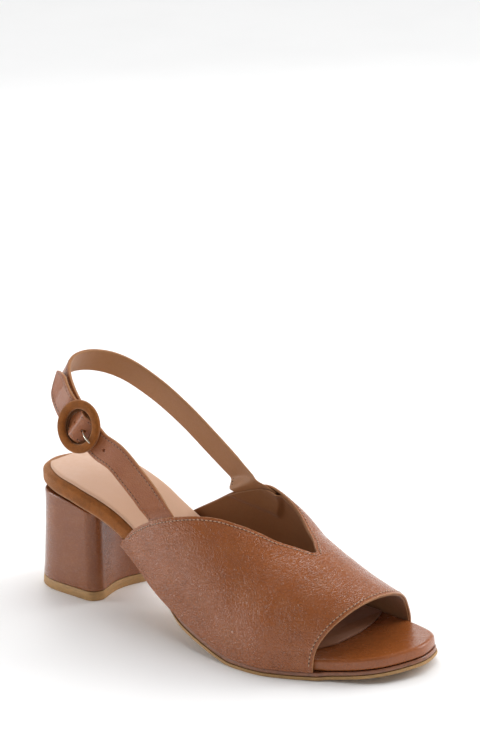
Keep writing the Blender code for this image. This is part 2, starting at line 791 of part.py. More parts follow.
def strap(name, look, root, rows, turn, thickness_at, width_at, spacing=0.0032, grow=0.0):
    """A band sewn into the upper at its root that then follows a free path. Its rows hold x, y, z, the lean
    inward and how far the band is held square to the buckle's bar."""
    lengths, path = stepped_path(rows, spacing)
    total = lengths[-1]
    stations = []
    for k, length in enumerate(lengths):
        before, after = path[max(k - 1, 0)][:3], path[min(k + 1, len(path) - 1)][:3]
        forward = unit(after - before)
        inward = turn * np.cross(forward, LOOP_UP)
        width = LOOP_UP + math.tan(math.radians(path[k][3])) * unit(inward)
        held = min(max(path[k][4], 0.0), 1.0)
        width = (1 - held) * unit(width) + held * RING_ACROSS
        width = unit(width - forward * (width @ forward))
        stations.append((length, path[k][:3], width, turn * np.cross(width, forward), forward))
    exit_point, exit_width, exit_normal, exit_forward = stations[0][1:]
    for k in range(ROOT_STATIONS):
        out = -STRAP_ROOT * (k + 1) / ROOT_STATIONS
        stations.insert(0, (out, exit_point + out * exit_forward, exit_width, exit_normal, exit_forward))
    points, faces = [], []
    shares = [-1.0, -0.5, 0.0, 0.5, 1.0]
    for out, centre, width, normal, _ in stations:
        half_width = width_at(out, total) / 2 + grow
        half_thickness = thickness_at(out, total) / 2 + grow
        tops, bottoms = [], []
        for share in shares:
            across = share * half_width
            blend = smoothstep((clear_of_topline(root, out, across) - BLEND_START) / BLEND_LENGTH)
            middle, facing = blend * (centre + across * width), blend * normal
            if blend < 1:
                middle = middle + (1 - blend) * root_point(root, out, across, ROOT_DEPTH)
                facing = facing + (1 - blend) * last_normal(*root_place(root, out, across))
            tops.append(middle + half_thickness * unit(facing))
            bottoms.append(middle - half_thickness * unit(facing))
        points.extend(tops + bottoms[::-1])
    count = 2 * len(shares)
    for s in range(len(stations) - 1):
        for k in range(count):
            n = (k + 1) % count
            faces.append((s * count + k, s * count + n, (s + 1) * count + n, (s + 1) * count + k))
    for low in (0, (len(stations) - 1) * count):
        for k in range(len(shares) - 1):
            faces.append((low + k, low + k + 1, low + count - 2 - k, low + count - 1 - k))
    return solid(name, points, faces, look)


def pocket(name, root):
    """Hidden guide for the pocket that holds a strap's root between leather and lining."""
    points, faces = [], []
    outs = np.linspace(-STRAP_ROOT - GAP, POCKET_MOUTH, 9)
    shares = np.linspace(-1.0, 1.0, 7)
    for out in outs:
        skins = []
        for depth in (ROOT_DEPTH - STRAP_SKIVED / 2 - GAP, ROOT_DEPTH + STRAP_SKIVED / 2 + GAP):
            skins.append([root_point(root, out, share * (STRAP_WIDTH / 2 + GAP), depth) for share in shares])
        points.extend(skins[0] + skins[1][::-1])
    count = 2 * len(shares)
    for s in range(len(outs) - 1):
        for k in range(count):
            n = (k + 1) % count
            faces.append((s * count + k, s * count + n, (s + 1) * count + n, (s + 1) * count + k))
    for low in (0, (len(outs) - 1) * count):
        for k in range(len(shares) - 1):
            faces.append((low + k, low + k + 1, low + count - 2 - k, low + count - 1 - k))
    return solid(name, points, faces, LINING_LOOK)


def rod(name, look, points, radius, sides=10):
    """A round rod through points, with flat ends."""
    mesh_points, faces = [], []
    previous = None
    for k, point in enumerate(points):
        forward = unit(points[min(k + 1, len(points) - 1)] - points[max(k - 1, 0)])
        side = RING_ACROSS if abs(forward @ RING_ACROSS) < 0.9 else RING_OUT
        side = side if previous is None else previous
        side = previous = unit(side - forward * (side @ forward))
        other = np.cross(forward, side)
        for s in range(sides):
            turn = 2 * math.pi * s / sides
            mesh_points.append(point + radius * (math.cos(turn) * side + math.sin(turn) * other))
    for k in range(len(points) - 1):
        for s in range(sides):
            n = (s + 1) % sides
            faces.append((k * sides + s, k * sides + n, (k + 1) * sides + n, (k + 1) * sides + s))
    faces.append(tuple(range(sides)))
    faces.append(tuple(range((len(points) - 1) * sides, len(points) * sides)))
    return solid(name, mesh_points, faces, look)


def ring_solid(name, look, segments=34):
    """The buckle's round ring, with well rounded edges."""
    middle = (RING_OUTER + RING_INNER) / 4
    half_width = (RING_OUTER - RING_INNER) / 4
    half_thickness = RING_THICKNESS / 2
    sides = 10
    points, faces = [], []
    for k in range(segments):
        turn = 2 * math.pi * k / segments
        for s in range(sides):
            round_turn = 2 * math.pi * s / sides + math.pi / sides
            cosine, sine = math.cos(round_turn), math.sin(round_turn)
            radius = middle + half_width * math.copysign(abs(cosine) ** 0.7, cosine)
            out = half_thickness * math.copysign(abs(sine) ** 0.7, sine)
            points.append(ring_point(radius * math.cos(turn), radius * math.sin(turn), out))
    for k in range(segments):
        n = (k + 1) % segments
        for s in range(sides):
            m = (s + 1) % sides
            faces.append((k * sides + s, k * sides + m, n * sides + m, n * sides + s))
    return solid(name, points, faces, look)


for old in list(bpy.data.objects):
    bpy.data.objects.remove(old)

SUEDE = material("tan suede", (0.30, 0.10, 0.02), 0.9)
PATENT = material("brown crinkled leather", (0.25, 0.08, 0.03), 0.3)
SOCK_LEATHER = material("pale sock leather", (0.68, 0.44, 0.30), 0.6)
TREAD_RUBBER = material("tan tread rubber", (0.36, 0.20, 0.09), 0.6)
DARK_EDGE = material("dark sole edge", (0.14, 0.05, 0.025), 0.5)
LINING_LOOK = material("tan lining", (0.35, 0.15, 0.06), 0.6)
PALE_METAL = material("pale metal", (0.8, 0.75, 0.62), 0.3, 1.0)

# Heel: its profile stands on the floor and is cut by the footbed's underside
heel_top = HEEL_RISE + CUTTER_MARGIN
heel_block = heel_solid("heel_block", PATENT, np.linspace(HEEL_TIP_THICKNESS + GAP, heel_top, 7))
heel_tip = heel_solid("heel_tip", TREAD_RUBBER, (0.0, HEEL_TIP_THICKNESS))
over_rings = [(-CUTTER_MARGIN, -GAP), (-CUTTER_MARGIN, CUTTER_HEIGHT)]
over_heel = sole_layer("over_heel", PATENT, 0.0, 0.42, over_rings, 30)
cut(heel_block, over_heel)

# Sole under the ball and the waist
tread_rise = -BALL_LEVEL
outsole = sole_layer(
    "outsole",
    TREAD_RUBBER,
    OUTSOLE_START,
    1.0,
    [
        (lambda s: sole_side(s) + WAIST_BEVEL * waist(s) + 0.0005, tread_rise),
        (lambda s: sole_side(s) + 0.8 * WAIST_BEVEL * waist(s), tread_rise + 0.0004),
        (lambda s: sole_side(s) + 0.45 * WAIST_BEVEL * waist(s), tread_rise + OUTSOLE_THICKNESS),
    ],
    46,
)
midsole = sole_layer(
    "midsole",
    DARK_EDGE,
    OUTSOLE_START,
    1.0,
    [
        (lambda s: sole_side(s) + 0.45 * WAIST_BEVEL * waist(s) + GAP, tread_rise + OUTSOLE_THICKNESS + GAP),
        (lambda s: sole_side(s) + GAP, -GAP),
    ],
    46,
)
breast_guide = heel_solid("breast_guide", PATENT, np.linspace(-CUTTER_MARGIN / 3, heel_top, 7), GAP)
cut(outsole, breast_guide)
cut(midsole, breast_guide)

# Footbed: suede round the heel, glossy leather under the forefoot, and the sock on both
rand_rings = footbed_rings(footbed_thickness, RAND_ROUND, RAND_TUCK)
footbed_rear = sole_layer("footbed_rear", SUEDE, 0.0, split_at, rand_rings, 30)
footbed_front = sole_layer(
    "footbed_front",
    PATENT,
    lambda rise: split_at(rise) + GAP / SOLE_LENGTH,
    1.0,
    footbed_rings(footbed_thickness, PLATFORM_ROUND, PLATFORM_TUCK),
    44,
)


def sock_inset(share):
    """The sock lies further in from the edge round the heel."""
    return SOCK_MARGIN + (SOCK_HEEL_MARGIN - SOCK_MARGIN) * (1 - smoothstep(share / SOCK_HEEL_FADE))


insole_sock = sole_layer(
    "insole_sock",
    SOCK_LEATHER,
    SOCK_HEEL_MARGIN / SOLE_LENGTH,
    SOCK_END_SHARE,
    [
        (sock_inset, lambda s: footbed_thickness(s) + GAP),
        (sock_inset, lambda s: footbed_thickness(s) + GAP + SOCK_THICKNESS),
    ],
    40,
)


def before_edge(name, rows, reach, low, high):
    """Hidden guide that stands in front of a curved edge, from its rows of (y, x) forward by `reach`."""
    edge = [(between(rows, y), y) for y in np.linspace(rows[0][0], rows[-1][0], 25)]
    loop = edge + [(reach, y) for x, y in reversed(edge)]
    points = [(x, y, z) for z in (low, high) for x, y in loop]
    count = len(loop)
    faces = [(k, (k + 1) % count, count + (k + 1) % count, count + k) for k in range(count)]
    for base in (0, count):
        faces += [(base + k, base + k + 1, base + count - 2 - k, base + count - 1 - k) for k in range(24)]
    return solid(name, points, faces, LINING_LOOK)


cut(insole_sock, before_edge("before_sock", SOCK_FRONT, x_of(1.08), 0.0, CUTTER_HEIGHT))

# Upper with the straps' roots in its pockets
upper = upper_mesh("upper", PATENT)
for side, root in ROOTS.items():
    cut(upper, pocket("pocket_" + side, root))


def root_skive(out):
    """Strap thickness near its root: thin in the pocket, whole once it is clear of the topline."""
    return STRAP_SKIVED + (STRAP_THICKNESS - STRAP_SKIVED) * smoothstep((out - 0.001) / 0.007)


def buckle_skive(out, total):
    return root_skive(out)


def tail_width(out, total):
    """Full width, then the pointed tail."""
    left = (total - out) / TAIL_POINT
    return STRAP_WIDTH if left >= 1 else TAIL_TIP + (STRAP_WIDTH - TAIL_TIP) * max(left, 0.0) ** 0.8


def bar_skive(out, total):
    """Sling strap's thickness: skived at its root and again where it wraps the bar."""
    wrapped = smoothstep((BAR_SKIVE_LENGTH - (total - out)) / (BAR_SKIVE_LENGTH / 2))
    return root_skive(out - MEDIAL_SKIVE_DELAY) * (1 - wrapped) + BAR_SKIVED * wrapped


lateral_exit = root_point(ROOTS["lateral"], 0.0, 0.0, ROOT_DEPTH)
medial_exit = root_point(ROOTS["medial"], 0.0, 0.0, ROOT_DEPTH)
lateral_rows = [(*lateral_exit, 17.0, 0.0)]
lateral_rows += [(x, y * BALL_WIDTH, z, lean, 0.0) for x, y, z, lean in LATERAL_ROUTE]
lateral_rows += [(*ring_point(along, 0.0, out), RING_LEAN, 1.0) for along, out in THROUGH_RING]
lateral_rows += [(*loop_point(along, y * BALL_WIDTH, up), lean, 0.0) for along, y, up, lean in TAIL_ROUTE]
strap_lateral = strap("strap_lateral", PATENT, ROOTS["lateral"], lateral_rows, 1.0, buckle_skive, tail_width)
medial_rows = [(*medial_exit, 11.0, 0.0)]
medial_rows += [(*loop_point(along, y * BALL_WIDTH, up), lean, 0.0) for along, y, up, lean in SLING_ROUTE]
medial_rows += [(*ring_point(along, 0.0, out), RING_LEAN, 1.0) for along, out in ROUND_BAR]
sling_width = STRAP_WIDTH - SLING_NARROWER
strap_medial = strap(
    "strap_medial", PATENT, ROOTS["medial"], medial_rows, -1.0, bar_skive, lambda out, total: sling_width
)

# Buckle
buckle_ring = ring_solid("buckle_ring", SUEDE)
bar_half = RING_OUTER / 2 - BAR_END_MARGIN
bar_points = [ring_point(0.0, across, BAR_LEVEL) for across in (-bar_half, bar_half)]
buckle_bar = rod("buckle_bar", PALE_METAL, bar_points, BAR_DIAMETER / 2, 12)
prong_rows = [ring_point(along, 0.0, out) for along, out in PRONG_ROUTE]
prong_points = list(stepped_path(prong_rows, 0.0012)[1][:, :3])
buckle_prong = rod("buckle_prong", PALE_METAL, prong_points, PRONG_DIAMETER / 2)
prong_guide = rod("prong_guide", PALE_METAL, prong_points, PRONG_DIAMETER / 2 + GAP)
cut(strap_lateral, prong_guide)
cut(strap_medial, prong_guide)


def hole_guide(name, at):
    """Hidden guide for a round hole at a distance along the buckle strap's free path."""
    lengths, path = stepped_path(lateral_rows, 0.0016)
    k = int(np.argmin(abs(lengths - at)))
    forward = unit(path[k + 1][:3] - path[k - 1][:3])
    outward = unit(RING_OUT - forward * (RING_OUT @ forward))
    reach = 2 * STRAP_THICKNESS * outward
    return rod(name, LINING_LOOK, [path[k][:3] - reach, path[k][:3] + reach], HOLE_DIAMETER / 2, 12)


fine_lengths, fine_path = stepped_path(lateral_rows, 0.0005)
from_ring = [np.linalg.norm(row[:3] - ring_point(0.0, 0.0, 0.0)) for row in fine_path]
ring_run = float(fine_lengths[int(np.argmin(from_ring))])
for number, at in enumerate((ring_run - PRONG_HOLE - 2 * HOLE_PITCH, ring_run - PRONG_HOLE + HOLE_PITCH)):
    cut(strap_lateral, hole_guide(f"hole_{number + 1}", at))
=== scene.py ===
"""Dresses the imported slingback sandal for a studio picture.

Every piece is made in the row frame: metres, the origin at the centre of the heel's tread,
+X to the toe, +Y to the medial side and +Z up. The tables of the last are part.py's own.
"""

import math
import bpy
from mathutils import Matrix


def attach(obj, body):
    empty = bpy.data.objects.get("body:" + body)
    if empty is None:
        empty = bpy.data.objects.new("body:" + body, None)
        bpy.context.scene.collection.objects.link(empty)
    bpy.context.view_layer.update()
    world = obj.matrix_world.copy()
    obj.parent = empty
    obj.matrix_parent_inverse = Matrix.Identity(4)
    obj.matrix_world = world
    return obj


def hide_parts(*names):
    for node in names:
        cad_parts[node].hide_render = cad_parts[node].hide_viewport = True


bl_info = {
    "name": "Slingback sandal",
    "version": (1, 0, 0),
    "blender": (4, 5, 0),
    "location": "View3D > Sidebar > Sandal",
    "description": "Leather, suede, stitches and buckle of an open-toed slingback sandal",
    "category": "Object",
}

import bmesh
import bpy
import numpy as np
from mathutils import Matrix, Vector, noise

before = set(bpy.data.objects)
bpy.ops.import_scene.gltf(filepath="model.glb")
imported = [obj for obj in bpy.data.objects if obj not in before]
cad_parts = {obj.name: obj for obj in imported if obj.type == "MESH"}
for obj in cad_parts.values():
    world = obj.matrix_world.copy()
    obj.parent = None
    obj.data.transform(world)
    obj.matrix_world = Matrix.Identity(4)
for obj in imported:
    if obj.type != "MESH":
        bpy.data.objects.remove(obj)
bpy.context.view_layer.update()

# Driving sizes of the last and the sole
SOLE_LENGTH = 0.2330
BALL_WIDTH = 0.0786
HEEL_RISE = 0.0485
TOE_SPRING = 0.0045
INSTEP_HEIGHT = 0.0580
HEEL_SEAT_REACH = 0.0225

# Thicknesses of the layers, from the floor up, and the running gap between pieces
GAP = 0.0003
OUTSOLE_THICKNESS = 0.0016
MIDSOLE_THICKNESS = 0.0018
FOOTBED_REAR_THICKNESS = 0.0095
FOOTBED_TOE_THICKNESS = 0.0055
SOCK_THICKNESS = 0.0012
SOCK_MARGIN = 0.0023
SOCK_HEEL_MARGIN = 0.0042

# Heel
HEEL_TIP_THICKNESS = 0.0048
HEEL_LENGTH = 0.0485
HEEL_WIDTH = 0.5547 * BALL_WIDTH
HEEL_FLARE = 0.0052
HEEL_CORNER = 0.0065
BREAST_HOLLOW = 0.0038

# Leather of the upper
OUTER_LEATHER = 0.0011
LINING = 0.0008
POCKET_LINING = 0.0008
VAMP_WALL = OUTER_LEATHER + LINING

# Straps
STRAP_WIDTH = 0.0142
STRAP_THICKNESS = 0.0017
STRAP_SKIVED = 0.0010
STRAP_ROOT = 0.0140
TAIL_POINT = 0.0090
HOLE_DIAMETER = 0.0020
HOLE_PITCH = 0.0075

# Buckle
RING_OUTER = 0.0264
RING_INNER = 0.0174
RING_THICKNESS = 0.0032
BAR_DIAMETER = 0.0014
PRONG_DIAMETER = 0.0012

# Places along the sole, as shares of its length
SPLIT_SHARE = 0.290
SPLIT_LEAN = 0.040
SOCK_END_SHARE = 0.870
SOCK_HEEL_FADE = 0.120
OUTSOLE_START = 0.172
WAIST_SHARE = 0.330
TREAD_SHARE = 0.540
NOTCH_FEATHER = 0.690
NOTCH_DEPTH = 0.0095
FEATHER_LEAD = 0.006
CENTRE_GIRTH = 0.532
TOE_EDGE_FADE = 0.025
LATERAL_EXIT = 0.434
MEDIAL_EXIT = 0.4810

# Smaller sizes of the sole and the upper
WAIST_INSET = 0.0030
WAIST_BEVEL = 0.0120
PLATFORM_SHOW = 0.0006
RAND_ROUND = 0.0022
RAND_TUCK = 0.0038
PLATFORM_TUCK = 0.0012
PLATFORM_ROUND = 0.0016
HEEL_BACK = 0.0178
HEEL_MIDDLE = 0.0020
HEEL_LINE = -0.0035
SIDE_SLACK = 0.0002
SWELL_MARGIN = 0.0045
SWELL_FADE = 0.0030
LATERAL_SLOPE = math.radians(41)
MEDIAL_SLOPE = math.radians(22)
MEDIAL_SKIVE_DELAY = 0.0105

# Smaller sizes of the straps and the buckle
SLING_NARROWER = 0.0006
TAIL_TIP = 0.0018
BLEND_START = 0.0018
BLEND_LENGTH = 0.0052
BAR_SKIVED = 0.0008
BAR_SKIVE_LENGTH = 0.0130
BAR_LEVEL = -0.00235
BAR_END_MARGIN = 0.0020
PRONG_HOLE = 0.0040

# Place and tilt of the buckle's ring and of the loop that the straps make
RING_CENTRE = np.array([0.0279, -0.4262 * BALL_WIDTH, 0.0957])
LOOP_SLOPE = math.radians(31)
RING_LEAN = 15.0
RING_TURN = math.radians(3.5)
LOOP_ALONG = np.array([math.cos(LOOP_SLOPE), 0.0, -math.sin(LOOP_SLOPE)])
LOOP_UP = np.array([math.sin(LOOP_SLOPE), 0.0, math.cos(LOOP_SLOPE)])
LOOP_IN = np.array([0.0, 1.0, 0.0])
RING_ALONG = math.cos(RING_TURN) * LOOP_ALONG - math.sin(RING_TURN) * LOOP_IN
RING_LEVEL = math.cos(RING_TURN) * LOOP_IN + math.sin(RING_TURN) * LOOP_ALONG
RING_ACROSS = math.cos(math.radians(RING_LEAN)) * LOOP_UP + math.sin(math.radians(RING_LEAN)) * RING_LEVEL
RING_OUT = np.cross(RING_ALONG, RING_ACROSS)

# Free route of the buckle strap up to the ring, a row for each bend: x, y as a share of the ball width,
# z, lean inward in degrees
LATERAL_ROUTE = [
    (0.0708, -0.3919, 0.0668, 17.0),
    (0.0608, -0.3969, 0.0757, 16.5),
    (0.0508, -0.4033, 0.0837, 16.0),
]

# Through the ring, a row for each bend: along the strap, out from the foot
THROUGH_RING = [
    (0.0150, -0.0030),
    (0.0085, -0.0030),
    (0.0064, -0.0027),
    (0.0048, -0.0021),
    (0.0032, -0.0009),
    (0.0016, 0.0002),
    (0.0000, 0.0006),
    (-0.0016, 0.0002),
    (-0.0032, -0.0009),
    (-0.0048, -0.0021),
    (-0.0064, -0.0027),
    (-0.0085, -0.0030),
]

# Tail beyond the ring, a row for each bend: along the loop's plane, y as a share of the ball width, up, lean
TAIL_ROUTE = [
    (-0.0135, -0.3791, -0.0002, 14.0),
    (-0.0180, -0.3639, 0.0002, 12.0),
    (-0.0235, -0.3359, 0.0008, 10.0),
    (-0.0290, -0.2926, 0.0015, 8.0),
    (-0.0338, -0.2417, 0.0020, 6.0),
]

# Sling strap from the medial side round the heel, a row for each bend: along, y as a share of the ball
# width, up, lean
SLING_ROUTE = [
    (0.0610, 0.3270, 0.0008, 9.0),
    (0.0500, 0.3448, 0.0000, 6.0),
    (0.0360, 0.3575, -0.0004, 4.0),
    (0.0180, 0.3562, 0.0002, 4.0),
    (0.0010, 0.3359, 0.0007, 3.0),
    (-0.0120, 0.3003, 0.0009, 2.0),
    (-0.0222, 0.2545, 0.0009, 1.0),
    (-0.0297, 0.1845, 0.0009, 0.0),
    (-0.0347, 0.0916, 0.0009, 0.0),
    (-0.0370, -0.0127, 0.0009, 1.0),
    (-0.0362, -0.1170, 0.0009, 3.0),
    (-0.0323, -0.1985, 0.0008, 6.0),
    (-0.0266, -0.2608, 0.0006, 9.0),
    (-0.0200, -0.3092, 0.0004, 12.0),
    (-0.0135, -0.3435, 0.0002, 14.0),
]

# Its end round the bar, a row for each bend: along the strap, out from the foot
ROUND_BAR = [
    (-0.0080, -0.0053),
    (-0.0044, -0.0044),
    (-0.0018, -0.0039),
    (0.0000, -0.00375),
    (0.0010, -0.0033),
    (0.0014, -0.00235),
    (0.0010, -0.0014),
    (0.0000, -0.00095),
    (-0.0008, -0.00110),
]

# Prong from the bar to the ring's front, a row for each bend: along the strap, out from the foot
PRONG_ROUTE = [
    (0.0000, -0.00075),
    (0.0018, -0.00070),
    (0.0036, -0.00010),
    (0.0058, 0.00130),
    (0.0080, 0.00235),
    (0.0102, 0.00255),
    (0.0120, 0.00255),
]

# Front edge of the sock in the toe opening, a row for each bend: y, x
SOCK_FRONT = [
    (-0.0500, 0.1560),
    (-0.0300, 0.1640),
    (-0.0175, 0.1690),
    (-0.0092, 0.1714),
    (0.0029, 0.1712),
    (0.0153, 0.1692),
    (0.0263, 0.1660),
    (0.0350, 0.1618),
    (0.0500, 0.1540),
]

# Footbed's underside, a row for each station along the sole:
# share of the length, share of the heel rise, share of the toe spring
PROFILE = [
    (0.000, 1.000, 0.0),
    (0.060, 0.995, 0.0),
    (0.130, 0.965, 0.0),
    (0.185, 0.905, 0.0),
    (0.240, 0.822, 0.0),
    (0.290, 0.708, 0.0),
    (0.352, 0.560, 0.0),
    (0.420, 0.400, 0.0),
    (0.480, 0.268, 0.0),
    (0.537, 0.165, 0.0),
    (0.590, 0.084, 0.0),
    (0.640, 0.024, 0.0),
    (0.670, 0.000, 0.0),
    (0.800, 0.000, 0.0),
    (0.850, 0.000, 0.07),
    (0.910, 0.000, 0.35),
    (1.000, 0.000, 1.00),
]

# Footbed's outline from above, a row for each line across it: lateral share of the length,
# lateral share of the ball width, medial share of the length, medial share of the ball width
OUTLINE = [
    (0.000, -0.045, 0.000, -0.045),
    (0.006, -0.127, 0.006, 0.038),
    (0.020, -0.206, 0.020, 0.116),
    (0.048, -0.272, 0.048, 0.182),
    (0.095, -0.328, 0.095, 0.224),
    (0.161, -0.350, 0.161, 0.240),
    (0.230, -0.340, 0.230, 0.233),
    (0.290, -0.335, 0.294, 0.220),
    (0.354, -0.369, 0.363, 0.228),
    (0.431, -0.433, 0.440, 0.292),
    (0.517, -0.474, 0.530, 0.382),
    (0.603, -0.510, 0.616, 0.438),
    (0.680, -0.533, 0.697, 0.462),
    (0.745, -0.522, 0.766, 0.468),
    (0.796, -0.465, 0.822, 0.455),
    (0.848, -0.390, 0.873, 0.433),
    (0.899, -0.321, 0.916, 0.392),
    (0.946, -0.238, 0.955, 0.338),
    (0.979, -0.122, 0.983, 0.256),
    (1.000, 0.077, 1.000, 0.077),
]

# Sections of the last under the upper, a row for each: share of the length, crown height as a share of
# the instep height, crown's medial shift as a share of the ball width, squareness of each side
SECTIONS = [
    (0.280, 0.93, 0.020, 2.9, 2.9),
    (0.420, 1.00, 0.030, 2.9, 3.0),
    (0.515, 1.01, 0.055, 2.8, 3.4),
    (0.600, 0.955, 0.052, 2.5, 3.2),
    (0.680, 0.815, 0.037, 2.3, 2.55),
    (0.750, 0.725, 0.028, 2.3, 2.1),
    (0.805, 0.650, 0.025, 2.4, 1.95),
    (0.870, 0.565, 0.021, 2.5, 1.90),
    (0.905, 0.515, 0.018, 2.5, 1.90),
    (0.940, 0.460, 0.016, 2.5, 1.90),
]

# Upper edges of the two vamp panels, a row for each: share of the length, share of the last's girth
LATERAL_TOPLINE = [
    (0.308, 0.016),
    (0.348, 0.115),
    (0.400, 0.200),
    (0.442, 0.254),
    (0.478, 0.291),
    (0.529, 0.336),
    (0.566, 0.369),
    (0.604, 0.398),
    (0.631, 0.423),
    (0.669, 0.463),
    (0.724, 0.5165),
]
MEDIAL_TOPLINE = [
    (0.302, 0.982),
    (0.337, 0.917),
    (0.376, 0.853),
    (0.438, 0.760),
    (0.485, 0.709),
    (0.519, 0.677),
    (0.555, 0.655),
    (0.588, 0.642),
    (0.626, 0.628),
    (0.658, 0.615),
    (0.695, 0.589),
    (0.724, 0.5490),
]

# Edge of the toe opening, a row for each: share of the girth, share of the length
TOE_EDGE = [
    (0.00, 0.853),
    (0.05, 0.854),
    (0.10, 0.858),
    (0.15, 0.866),
    (0.21, 0.878),
    (0.29, 0.893),
    (0.37, 0.902),
    (0.45, 0.906),
    (0.54, 0.908),
    (0.62, 0.905),
    (0.70, 0.896),
    (0.79, 0.882),
    (0.87, 0.871),
    (0.93, 0.867),
    (1.00, 0.861),
]


def between(rows, share, column=1):
    """Smooth reading of a table's column, with no overshoot between its rows."""
    xs = np.array([row[0] for row in rows], float)
    ys = np.array([row[column] for row in rows], float)
    steps = np.diff(xs)
    slopes = np.diff(ys) / steps
    tangents = np.zeros(len(xs))
    tangents[0], tangents[-1] = slopes[0], slopes[-1]
    for i in range(1, len(xs) - 1):
        if slopes[i - 1] * slopes[i] > 0:
            w1 = 2 * steps[i] + steps[i - 1]
            w2 = steps[i] + 2 * steps[i - 1]
            tangents[i] = (w1 + w2) / (w1 / slopes[i - 1] + w2 / slopes[i])
    share = min(max(share, xs[0]), xs[-1])
    i = int(min(max(np.searchsorted(xs, share) - 1, 0), len(steps) - 1))
    t = (share - xs[i]) / steps[i]
    return (
        (1 + 2 * t) * (1 - t) ** 2 * ys[i]
        + t * (1 - t) ** 2 * steps[i] * tangents[i]
        + t * t * (3 - 2 * t) * ys[i + 1]
        + t * t * (t - 1) * steps[i] * tangents[i + 1]
    )


def smoothstep(value):
    value = min(max(value, 0.0), 1.0)
    return value * value * (3 - 2 * value)


def unit(vector):
    return vector / np.linalg.norm(vector)


BALL_LEVEL = OUTSOLE_THICKNESS + MIDSOLE_THICKNESS + 2 * GAP


def base_height(share):
    """Height of the footbed's underside above the floor."""
    return BALL_LEVEL + HEEL_RISE * between(PROFILE, share, 1) + TOE_SPRING * between(PROFILE, share, 2)


def x_of(share):
    return share * SOLE_LENGTH - HEEL_SEAT_REACH


def share_of(x):
    return (x + HEEL_SEAT_REACH) / SOLE_LENGTH


def place(share, y, rise):
    """Point at a share of the length, y across, and a rise square to the footbed's underside."""
    step = 0.002
    middle = min(max(share, step), 1 - step)
    low, high = middle - step, middle + step
    run = (high - low) * SOLE_LENGTH
    fall = base_height(high) - base_height(low)
    size = math.hypot(run, fall)
    return np.array([x_of(share) - rise * fall / size, y, base_height(share) + rise * run / size])


def smooth_through(points, at):
    """Catmull-Rom curve through numbered points, read at a fractional number."""
    i = int(min(max(math.floor(at), 1), len(points) - 3))
    t = at - i
    a, b, c, d = (np.array(points[k], float) for k in (i - 1, i, i + 1, i + 2))
    return 0.5 * (2 * b + (c - a) * t + (2 * a - 5 * b + 4 * c - d) * t * t + (3 * b - a - 3 * c + d) * t**3)


LAST_ROW = len(OUTLINE) - 1


def outline_pair(at):
    """(share, y) of the outline's lateral and medial points on the line across numbered `at`."""
    lateral = [(row[0], row[1] * BALL_WIDTH) for row in OUTLINE]
    medial = [(row[2], row[3] * BALL_WIDTH) for row in OUTLINE]
    left = [medial[1], *lateral, medial[-2]]
    right = [lateral[1], *medial, lateral[-2]]
    return smooth_through(left, at + 1), smooth_through(right, at + 1)


def inset_point(at, side, inset):
    """The outline's point on a line across, moved square to the outline by `inset`, inwards if positive."""
    step = 0.03
    low, high = max(at - step, 0.0), min(at + step, float(LAST_ROW))
    here = outline_pair(at)[side]
    run = (outline_pair(high)[side] - outline_pair(low)[side]) * np.array([SOLE_LENGTH, 1.0])
    if at < step or at > LAST_ROW - step:
        run = np.array([0.0, (1.0 if side else -1.0) * (1.0 if at < step else -1.0)])
    run = unit(run)
    inward = np.array([run[1], -run[0]]) if side else np.array([-run[1], run[0]])
    return here[0] + inset * inward[0] / SOLE_LENGTH, here[1] + inset * inward[1]


def row_at(share):
    """Number of the line across whose middle lies at this share of the length."""
    low, high = 0.0, float(LAST_ROW)
    for _ in range(30):
        middle = (low + high) / 2
        left, right = outline_pair(middle)
        low, high = (middle, high) if (left[0] + right[0]) / 2 < share else (low, middle)
    return (low + high) / 2


# The upper's foot stands just outside the footbed's side
UPPER_REACH = VAMP_WALL + GAP + SIDE_SLACK
SIDE_LINES = [k * LAST_ROW / 160 for k in range(161)]
LATERAL_SIDE = np.array([inset_point(at, 0, -UPPER_REACH) for at in SIDE_LINES])
MEDIAL_SIDE = np.array([inset_point(at, 1, -UPPER_REACH) for at in SIDE_LINES])


def section(share):
    """The last's section at a share of the length: its points from the lateral feather over the crown."""
    lateral = np.interp(share, LATERAL_SIDE[:, 0], LATERAL_SIDE[:, 1])
    medial = np.interp(share, MEDIAL_SIDE[:, 0], MEDIAL_SIDE[:, 1])
    height = INSTEP_HEIGHT * between(SECTIONS, share, 1)
    crown = BALL_WIDTH * between(SECTIONS, share, 2)
    squareness = between(SECTIONS, share, 3), between(SECTIONS, share, 4)
    angle = np.linspace(0.0, math.pi, 541)
    cosine, sine = np.cos(angle), np.abs(np.sin(angle))
    near = cosine > 0
    power = 2 / np.where(near, squareness[0], squareness[1])
    reach = np.where(near, lateral - crown, crown - medial)
    y = crown + reach * np.sign(cosine) * np.abs(cosine) ** power
    z = base_height(share) + height * sine**power
    return y, z


SECTION_SHARES = np.linspace(0.270, 0.950, 409)
SECTION_GIRTHS = np.linspace(0.0, 1.0, 361)


def section_rows():
    rows = []
    for share in SECTION_SHARES:
        y, z = section(share)
        run = np.concatenate([[0.0], np.cumsum(np.hypot(np.diff(y), np.diff(z)))])
        at = SECTION_GIRTHS * run[-1]
        x = np.full(len(at), x_of(share))
        rows.append(np.stack([x, np.interp(at, run, y), np.interp(at, run, z)], 1))
    return np.array(rows)


SECTION_GRID = section_rows()


